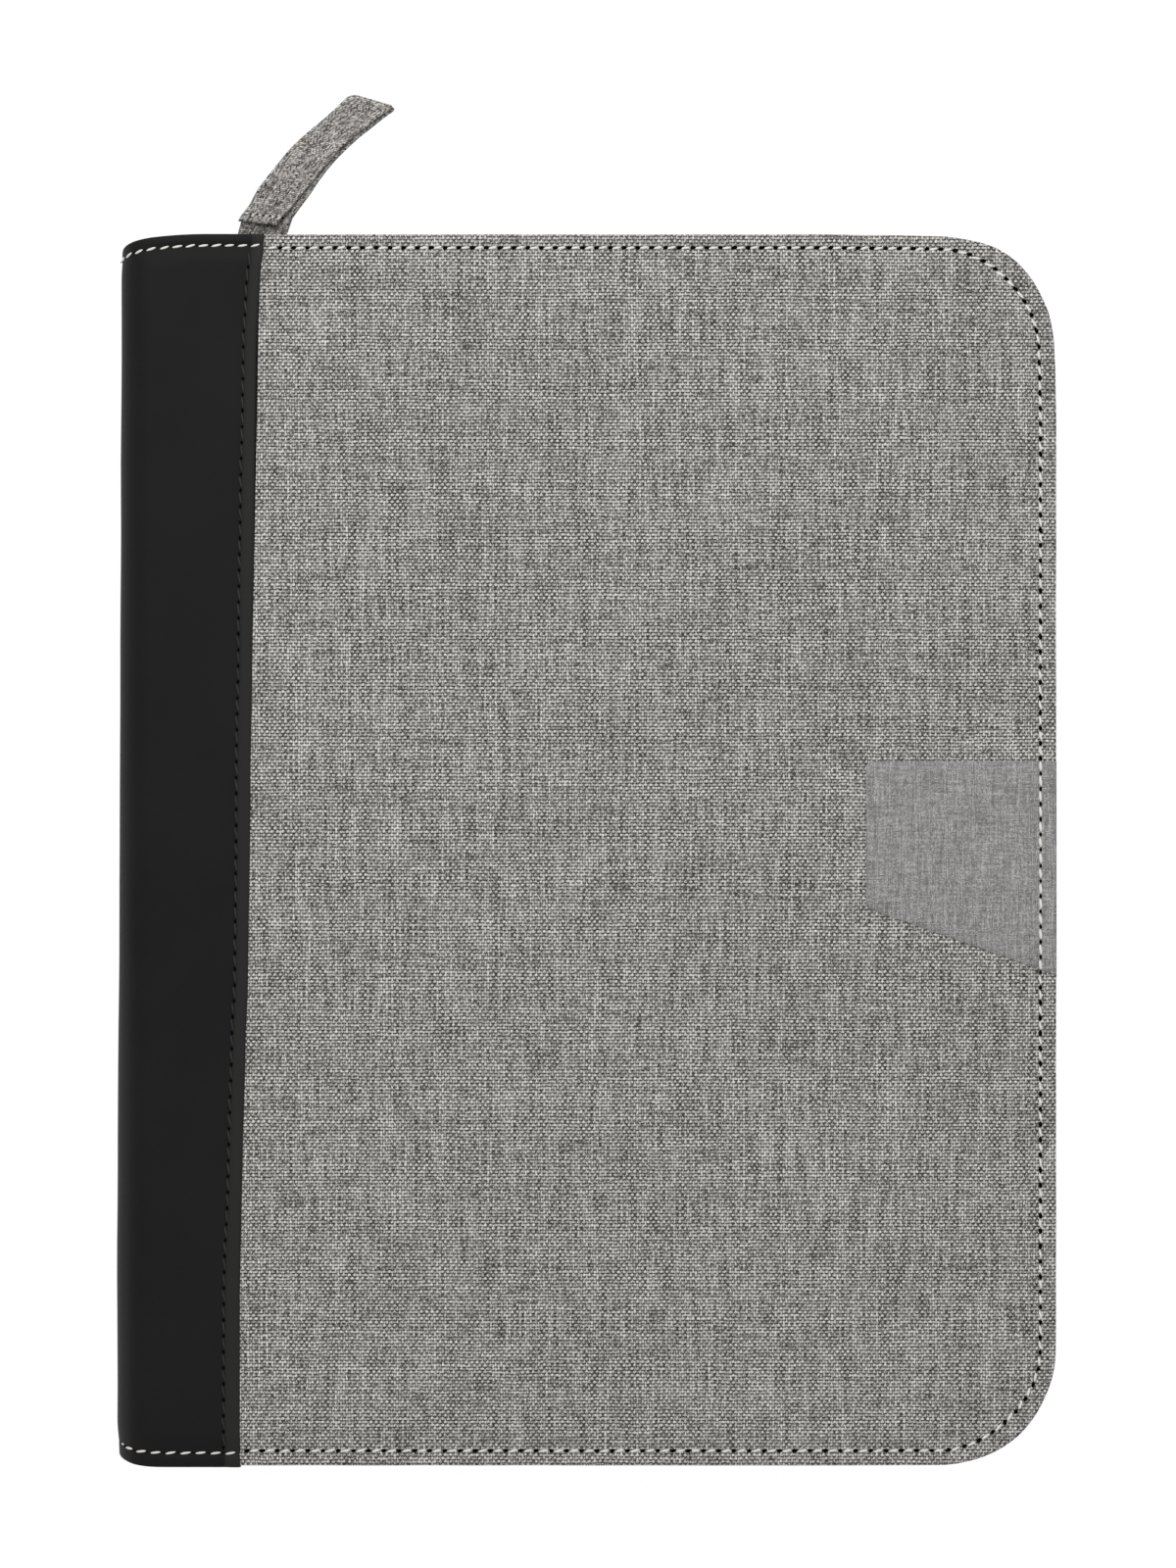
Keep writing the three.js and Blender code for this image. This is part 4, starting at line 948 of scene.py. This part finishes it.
def perimeterStitches(front):
    threads, holeShades = [], []
    startX = edgeRow["startX"]
    whole = rimWhole(startX, edgeRow["endX"])
    distance = edgeRow["first"]
    while distance < whole:
        # the row keeps further in round the corners
        _, out = rimPlace(distance, needleInset, startX)
        inset = needleInset + edgeRow["cornerIn"] * (2 * out.x * out.y) ** 2
        spot, out = rimPlace(distance, inset, startX)
        ahead = Vector((out.y, -out.x, 0))
        place = Vector((spot.x, spot.y, faceZ - faceDrop(inset)))
        shapeFace(place)
        onPatch = front and spot.x > patch["left"] and patch["top"] - patch["reach"] < spot.y < patch["top"]
        if onPatch:
            place.z += patch["rise"] - patch["pressed"]
        sewnThread(threads, holeShades, place, ahead, Vector((0, 0, 1)), patchStitch if onPatch else greyStitch)
        distance += greyStitch["pitch"] - (edgeRow["shorter"] if out.y > 0.7 else 0)
    return threads, holeShades


def wrapStitches(end):
    # along the end of the black strip and over the fold
    threads, holeShades = [], []
    stitch, inset = (blackStitch if end > 0 else footStitch), hemInset(end)
    sectionY = end * wrapRow["sectionY"]
    seamX = readTable(seamLine, sectionY) - wrapRow["afterSeam"]
    path = [p for p in wrapSection(sectionY, True) if p[0] < seamX and p[1] > faceZ - wrapRow["down"]]
    travelled, due = 0.0, wrapRow["first"]
    for (x0, z0, outX, outZ), (x1, z1, _, _) in zip(path, path[1:]):
        piece = math.dist((x0, z0), (x1, z1))
        while due < travelled + piece:
            part = (due - travelled) / piece
            x, z = x0 + (x1 - x0) * part, z0 + (z1 - z0) * part
            y = wrapEnd(x, end * (halfHeight - inset))
            out = Vector((outX, 0, outZ))
            ahead = Vector((x1 - x0, wrapEnd(x1, y) - wrapEnd(x0, y), z1 - z0)).normalized()
            place = Vector((x, y, z)) - out * wrapDrop(inset, x, end)
            sewnThread(threads, holeShades, place, ahead, out, stitch)
            due += stitch["pitch"]
        travelled += piece
    return threads, holeShades


def seamStitches(raised):
    threads, holeShades = [], []
    level = faceZ + seamRow["raised" if raised else "flat"]
    y = seamRow["head"]
    while y > seamRow["foot"]:
        x = readTable(seamLine, y) - readTable(needleGap, y)
        ahead = Vector((readTable(seamLine, y - 2) - readTable(seamLine, y + 2), -4, 0)).normalized()
        sewnThread(threads, holeShades, Vector((x, y, level)), ahead, Vector((0, 0, 1)), seamStitch)
        y -= seamStitch["pitch"]
    return threads, holeShades


for side, body in bodies.items():
    front = side == "Front"
    stitchPieces("edge%s" + side, perimeterStitches(front), paleThread, body, "cover_fabric", side)
    stitchPieces("seam%s" + side, seamStitches(front), blackThread, body, "spine_coating", side)
    for place, end in (("Head", 1), ("Foot", -1)):
        stitchPieces("wrap%s" + place + side, wrapStitches(end), paleThread, body, "spine_coating", side,
                     True)
print("stitches made")


def patchPiece():
    # applied fabric patch with rounded corners and a slanting lower edge, turned over the opening edge
    right, left = halfWidth + patch["over"], patch["left"]
    low = patch["top"] - patch["short"]
    fall = (right - left) * math.tan(math.radians(patch["slant"]))
    bm = bmesh.new()
    corners = [bm.verts.new((x, y, 0)) for x, y in (
        (right, patch["top"]), (left, patch["top"]), (left, low), (right, low - fall))]
    bm.faces.new(corners)
    roundOff(bm, corners[1:3], patch["corner"], 6, "VERTICES")
    bmesh.ops.recalc_face_normals(bm, faces=bm.faces)
    if bm.faces[:][0].normal.z < 0:
        bmesh.ops.reverse_faces(bm, faces=bm.faces)
    insetSteps(bm, bm.faces[:][0], [(patch["rim"], 0)])
    for x in ([halfWidth - i for i, _ in hemProfile] + [halfWidth + i for i in patch["turned"]]
              + [left + patch["cell"] * n for n in range(1, 7)]):
        cutAcross(bm, (x, 0, 0), (1, 0, 0))
    for n in range(-6, 4):
        cutAcross(bm, (0, patch["cell"] * n, 0), (0, 1, 0))
    edge = {v for e in bm.edges if e.is_boundary for v in e.verts}
    for vert in bm.verts:
        inset = halfWidth - vert.co.x
        lift = patch["rimRise"] if vert in edge else patch["rise"]
        if inset >= 0:
            vert.co.z = faceZ - faceDrop(inset) + lift
            vert.co.x += patch["eased"] * max(0, 1 - inset)
        else:
            vert.co.x = halfWidth + patch["proud"]
            vert.co.z = faceZ - hemProfile[0][1] + inset * patch["turnedSlope"]
    bmesh.ops.solidify(bm, geom=bm.faces[:], thickness=patch["thickness"])
    return bm


finishPiece(patchPiece(), "openingPatch", patchWeave, "front_half", "patch_fabric", 50, ["front_patch"])
print("patch made")

# zip pull: a strap folded at its far end; the upper layer stops short in a turned edge
pivot = Vector([j for j in frame["joints"] if j["name"] == "pull_swing"][0]["pos_m"]) * 1000
pull = {"layer": 1.35, "apart": 0.52, "twist": math.tan(math.radians(7.0)), "hem": 2.6, "hemRise": 0.3,
        "dip": 1.3, "dipOver": 6, "around": 26, "along": 60, "foldRound": 1.8, "foldIn": 0.2, "square": 0.22,
        "domed": 0.55, "endThin": 0.25, "endOver": 0.5, "lean": math.radians(40.0), "linkFrom": 3,
        "linkDraw": 1.0, "hemStitches": 6, "hemAt": 0.055, "hemLevel": 1.06}
# the strap's edges in the photograph, from the pivot: its left edge, the split between the two layers,
# and the lower layer's edge, which goes on down to the link
leftEdge = [(-2.7, 8.1), (-1.9, 9.7), (0.3, 12.5), (1.7, 15.2), (3.3, 17.9), (5.5, 20.7), (7.7, 23.4),
            (9.9, 26.2), (12.3, 28.9), (15.1, 31.6), (18.4, 34.4), (21.7, 37.1), (24.7, 39.8), (27.4, 42.6),
            (29.3, 43.7)]
splitEdge = [(8.2, 6.7), (13.2, 13.0), (17.5, 18.2), (20.3, 21.8), (22.3, 24.2), (24.6, 26.8), (27.2, 29.5),
             (30.2, 32.1), (33.6, 34.8), (36.9, 37.1), (41.2, 40.0)]
underLeft = [(-2.0, 3.7), (-3.0, 4.7)] + [(x + 0.35, y - 0.25) for x, y in leftEdge[1:]]
underRight = [(8.4, 3.5), (10.4, 3.8), (11.2, 5.0), (12.5, 8.9), (14.9, 12.2), (17.4, 15.5), (19.8, 19.2),
              (22.3, 22.5), (24.9, 25.5), (27.9, 28.5), (31.2, 31.5), (34.2, 33.8), (37.9, 36.8),
              (41.7, 39.5)]


def onEdge(edge, share):
    # place at a share of an edge's length
    lengths = [math.dist(a, b) for a, b in zip(edge, edge[1:])]
    wanted = share * sum(lengths)
    for (a, b), length in zip(zip(edge, edge[1:]), lengths):
        if wanted <= length or b is edge[-1]:
            return Vector(a).lerp(Vector(b), min(wanted / length, 1.0)), sum(lengths)
        wanted -= length


def strapLayer(left, right, upper):
    # rounded-edged cloth layer, closed all round
    def place(u, v):
        share = 0.5 - 0.5 * math.cos(math.pi * v)
        a, length = onEdge(left, share)
        b, _ = onEdge(right, share)
        middle, half = (a + b) / 2, (b - a) / 2
        near = min(share, 1 - share) * length
        # the corners of the fold are rounded
        gone = max(0.0, 1 - (1 - share) * length / pull["foldRound"])
        corner = 1 - pull["foldIn"] * (1 - math.sqrt(max(0.0, 1 - gone * gone)))
        angle = 2 * math.pi * u
        c, s = math.cos(angle), math.sin(angle)
        flat = math.copysign(abs(c) ** pull["square"], c) * corner
        full = min(1.0, pull["endThin"] + near / pull["endOver"] * (1 - pull["endThin"]))
        tall = math.copysign(abs(s) ** pull["domed"], s) * pull["layer"] / 2 * full
        if upper and share * length < pull["hem"] and tall > 0:
            tall += pull["hemRise"]
        level = pull["layer"] * (pull["apart"] if upper else -pull["apart"])
        if not upper:
            level -= pull["dip"] * max(0.0, 1 - share * length / pull["dipOver"]) ** 2
        spot = middle + half * flat
        across = flat * half.length
        return (pivot.x + spot.x, pivot.y + spot.y, pivot.z + level + tall + across * pull["twist"],
                across + (0 if s >= 0 else 40), share * length)

    return closeUp(shapedGrid(pull["around"], pull["along"], place))


finishPiece(strapLayer(underLeft, underRight, False), "pullLowerLayer", strapShadedCopy, "zip_pull",
            "pull_fabric", 70, ["pull_tab"])
finishPiece(strapLayer(leftEdge, splitEdge, True), "pullUpperLayer", strapHeather, "zip_pull",
            "pull_fabric", 70)
hemStitch = dict(greyStitch, pitch=1.9, length=1.0, width=0.55, rise=0.2, sit=0.05, hole=0.42, holeSit=0.02,
                 slant=25)
threads, holeShades = [], []
hemLine = [onEdge(edge, pull["hemAt"])[0] for edge in (leftEdge, splitEdge)]
hemAlong = hemLine[1] - hemLine[0]
for n in range(pull["hemStitches"]):
    share = (n + 0.7) / (pull["hemStitches"] + 0.2)
    level = pull["layer"] * pull["hemLevel"] + (share * 2 - 1) * hemAlong.length / 2 * pull["twist"]
    spot = Vector((*(hemLine[0] + hemAlong * share), level)) + pivot
    sewnThread(threads, holeShades, spot, Vector((*hemAlong.normalized(), 0)), Vector((0, 0, 1)), hemStitch)
stitchPieces("pullHem%s", (threads, holeShades), paleThread, "zip_pull", "pull_fabric")
print("pull made")

# zip: tapes swept along the case edge, beads, and a fine row of moulded teeth on each
zipRow = {"pitch": 3.2, "tapeEnd": -122.3, "tapeTop": 2.8, "bareZ": 19.15, "past": 3.1, "toothTop": 23,
          "beadLow": 21.3, "beadWide": 0.85, "beadTall": 0.6, "beadSides": 10, "first": 4.0, "last": 3,
          "body": (1.15, 2.0, 2.6), "bodyZ": 20.7, "head": (1.5, 2.1, 1.4), "headZ": 19.0, "edge": 0.24}
rowStart, rowEnd = [nodeBox("zip_stop_front_" + end)[1][0] for end in ("head", "foot")]


def zipTape():
    top, tapeEnd = faceZ - zipRow["tapeTop"], zipRow["tapeEnd"]
    whole = rimWhole(tapeEnd, tapeEnd)
    rowFrom = rowStart - tapeEnd
    rowTo = whole - (rowEnd - tapeEnd)
    # inset and height, from the cover down to the teeth
    section = [(1.5, top - 0.3), (4.8, top - 0.3), (5.7, top - 0.45), (6.15, top - 0.9), (6.3, top - 1.8),
               (6.3, 30.0), (6.22, 26.0), (6.3, 23.4), (6.3, 22.2)]
    steps = (-3.2, -3.0, 40, 80, 120, 160)
    stations = rimStations(tapeEnd, [0] + [rowFrom + s for s in steps], 8,
                           [rowTo - s for s in reversed(steps)] + [whole])

    def place(u, v):
        inset, z = section[round(u * (len(section) - 1))]
        distance = stations[round(v * (len(stations) - 1))]
        # past the rows' ends the bare tape comes down to the middle
        if z < zipRow["toothTop"] and not rowFrom - zipRow["past"] < distance < rowTo + zipRow["past"]:
            z = zipRow["bareZ"]
        spot, _ = rimPlace(distance, inset, tapeEnd)
        return spot.x, spot.y, z, top - z + inset, distance

    bm = shapedGrid(len(section) - 1, len(stations) - 1, place)
    bmesh.ops.recalc_face_normals(bm, faces=bm.faces)
    bmesh.ops.solidify(bm, geom=bm.faces[:], thickness=case["tape"])
    return bm


def zipBead():
    whole = rimWhole(rowStart, rowEnd)
    stations = rimStations(rowStart, [0, (rim["x"] - rowStart) / 2], 2, [whole - 100, whole])

    def place(u, v):
        angle = 2 * math.pi * u
        inset = wallMiddle + zipRow["beadWide"] * math.cos(angle)
        spot, _ = rimPlace(stations[round(v * (len(stations) - 1))], inset, rowStart)
        z = zipRow["beadLow"] + zipRow["beadTall"] + zipRow["beadTall"] * math.sin(angle)
        return spot.x, spot.y, z, u, v

    return closeUp(shapedGrid(zipRow["beadSides"], len(stations) - 1, place))


def zipTeeth(shift):
    bm = bmesh.new()
    whole = rimWhole(rowStart, rowEnd)
    distance = zipRow["first"] + shift
    while distance < whole - zipRow["last"]:
        spot, out = rimPlace(distance, wallMiddle, rowStart)
        turned = Matrix.Rotation(math.atan2(out.y, out.x) - math.pi / 2, 4, "Z")
        for part in ("body", "head"):
            place = Matrix.Translation((spot.x, spot.y, zipRow[part + "Z"]))
            bmesh.ops.create_cube(bm, size=1, matrix=place @ turned @ Matrix.Diagonal((*zipRow[part], 1)))
        distance += zipRow["pitch"]
    roundOff(bm, bm.edges[:], zipRow["edge"], 1)
    return bm


for side, body in bodies.items():
    low = side.lower()
    # the two rows mesh half a pitch apart
    shift = zipRow["pitch"] / 2 if side == "Back" else 0.0
    finishPiece(forSide(zipTape(), side), "zipTape" + side, tapeRib, body, "zip_tape", 50,
                ["zip_tape_" + low])
    finishPiece(forSide(zipBead(), side), "zipBead" + side, tapeRib, body, "zip_tape", 50)
    finishPiece(forSide(zipTeeth(shift), side), "zipTeeth" + side, toothResin, body, "zip_teeth", 40,
                ["zip_teeth_" + low])
    for end in ("_head", "_foot"):
        dressNode("zip_stop_" + low + end, nickelPlate, body, "bright_metal", 40, 0.18, 2, 30)
dressNode("slider_body", nickelPlate, "zip_slider", "bright_metal", 40, 0.28, name="zipSlider")
# the wire link's far bar is drawn in until the cover's edge hides it
bm = softenedCopy("pull_link", 0.36, 4, 30)
leanAhead = Vector((math.sin(pull["lean"]), math.cos(pull["lean"]), 0))
for vert in bm.verts:
    if (vert.co - pivot).dot(leanAhead) > pull["linkFrom"]:
        vert.co -= leanAhead * pull["linkDraw"]
finishPiece(bm, "pullWireLink", nickelPlate, "zip_pull", "bright_metal", 60, ["pull_link"])
print("zip made")

# covers' insides: lining, foam and boards
for side, body in bodies.items():
    low = side.lower()
    dressNode(low + "_lining", liningTaffeta, body, "lining_cloth", 40, 0.2, 2, 20, "coverLining" + side)
    foam = dressNode(low + "_foam", foamSheet, body, "padding", 50, 0.3, name="coverFoam" + side)
    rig.padded(foam, fill=1.0)
for node in ("front_board", "back_board", "spine_board"):
    board = frame["nodes"][node].data
    board.materials.clear()
    board.materials.append(pulpBoard)
# the spine's lining keeps just inside the wrap's drawn-in ends
bm = softenedCopy("spine_lining", 0.12, 2, 30)
liningShare = 0.994
for vert in bm.verts:
    level = faceZ - case["fold"] - abs(faceZ / 2 - vert.co.z)
    vert.co.y = wrapEnd(-halfWidth, vert.co.y, level) * liningShare
finishPiece(bm, "spineLining", liningTaffeta, "spine", "lining_cloth", 40, ["spine_lining"])
# the black is turned in round the ends of the spine board, from its end to just inside the wrap's
spineHem = {"x": -126.9, "from": 162.3, "inside": 0.2, "thick": 2.1, "wide": 21, "edge": 0.6}
for place, sign in (("Head", 1), ("Foot", -1)):
    far = abs(wrapEnd(-halfWidth, sign * halfHeight)) - spineHem["inside"]
    middle = Matrix.Translation((spineHem["x"], sign * (far + spineHem["from"]) / 2, faceZ / 2))
    bm = bmesh.new()
    bmesh.ops.create_cube(bm, size=1, matrix=middle @ Matrix.Diagonal(
        (spineHem["thick"], far - spineHem["from"], spineHem["wide"], 1)))
    roundOff(bm, bm.edges[:], spineHem["edge"], 3)
    finishPiece(bm, "spineHem" + place, coatedBlack, "spine", "spine_coating", 50)
print("linings made")

# ring mechanism: rounded copies of the pressed parts, and smooth wire rings
for node, body, width in (
        ("ring_cover_plate", "back_half", 0.3), ("ring_rivet_head", "back_half", 0.3),
        ("ring_rivet_foot", "back_half", 0.3), ("ring_blade_right", "ring_side_right", 0.2),
        ("ring_blade_left", "ring_side_left", 0.2), ("ring_lever_head", "lever_head", 0.45),
        ("ring_lever_foot", "lever_foot", 0.45)):
    dressNode(node, nickelPlate, body, "bright_metal", 40, width)
for hand in ("right", "left"):
    for n in (1, 2, 3):
        dressNode("half_ring_%s_%d" % (hand, n), nickelPlate, "ring_side_" + hand, "bright_metal", 50, 0.5)
print("ring mechanism made")

# pages, pockets and pen loop
dressNode("page_block", leafPaper, "back_half", "page_paper", 40, 0.5, 3, 20, "pageLeaves")
for node in ("slip_pocket", "card_slot_rear", "card_slot_middle", "card_slot_front"):
    dressNode(node, pocketNylon, "front_half", "lining_cloth", 40, 0.12, 2)
pocket = {"hem": 0.35, "hemEdge": 0.14, "slipFall": 34.0, "slipHem": 9, "slipRows": (1.8, 7.4), "slotHem": 6,
          "slotRow": 4.6}
pocketStitch = dict(greyStitch, pitch=3.6, length=2.5, width=0.6, rise=0.2, sit=0.08, hole=0.3, holeSit=-0.12,
                    slant=4)
threads, holeShades = [], []


def pocketHem(name, start, end, width, level):
    # doubled edge of a pocket: a thin strip on its open face
    bm = bmesh.new()
    strip = bm.faces.new([bm.verts.new((x, y, level)) for x, y in (
        start, end, (end[0], end[1] - width), (start[0], start[1] - width))])
    made = bmesh.ops.extrude_face_region(bm, geom=[strip], use_keep_orig=True)
    bmesh.ops.translate(bm, vec=(0, 0, -pocket["hem"]),
                        verts=[v for v in made["geom"] if isinstance(v, bmesh.types.BMVert)])
    bmesh.ops.recalc_face_normals(bm, faces=bm.faces)
    roundOff(bm, bm.edges[:], pocket["hemEdge"], 2)
    finishPiece(bm, name + "Hem", pocketNylon, "front_half", "lining_cloth", 40)


def stitchRow(start, end, level):
    # a row along the inside of the front cover, seen from below
    a, b = Vector((*start, level)), Vector((*end, level))
    ahead = (b - a).normalized()
    for n in range(int((b - a).length / pocketStitch["pitch"])):
        place = a + ahead * pocketStitch["pitch"] * (n + 0.5)
        sewnThread(threads, holeShades, place, ahead, Vector((0, 0, -1)), pocketStitch)


(left, low, level), (right, high, _) = nodeBox("slip_pocket")
fall = high - pocket["slipFall"]
pocketHem("slipPocket", (left, high), (right, fall), pocket["slipHem"], level)
for down in pocket["slipRows"]:
    stitchRow((left + 1, high - down), (right - 1, fall - down), level - pocket["hem"])
stitchRow((left + 2, high - 11), (left + 2, low + 3), level)
for place in ("rear", "middle", "front"):
    (left, low, level), (right, high, _) = nodeBox("card_slot_" + place)
    pocketHem("cardSlot" + place.title(), (left, high), (right, high), pocket["slotHem"], level)
    row = high - pocket["slotRow"]
    stitchRow((left + 1, row), (right - 1, row), level - pocket["hem"])
# the slots are sewn down together round the front one
sewnRound = [(left + 2, high - 7), (left + 2, low + 2), (right - 2, low + 2), (right - 2, high - 7)]
for start, end in zip(sewnRound, sewnRound[1:]):
    stitchRow(start, end, level)
stitchPieces("pocket%s", (threads, holeShades), paleThread, "front_half", "lining_cloth")
dressNode("pen_loop", elasticRib, "back_half", "elastic", 40, 0.25, 2, name="penElastic")
print("pages and pockets made")

with open("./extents.json", "w") as out:
    json.dump({"cad": [list(c) for c in cadBounds], "visual": [list(c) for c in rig.bounds()]}, out)
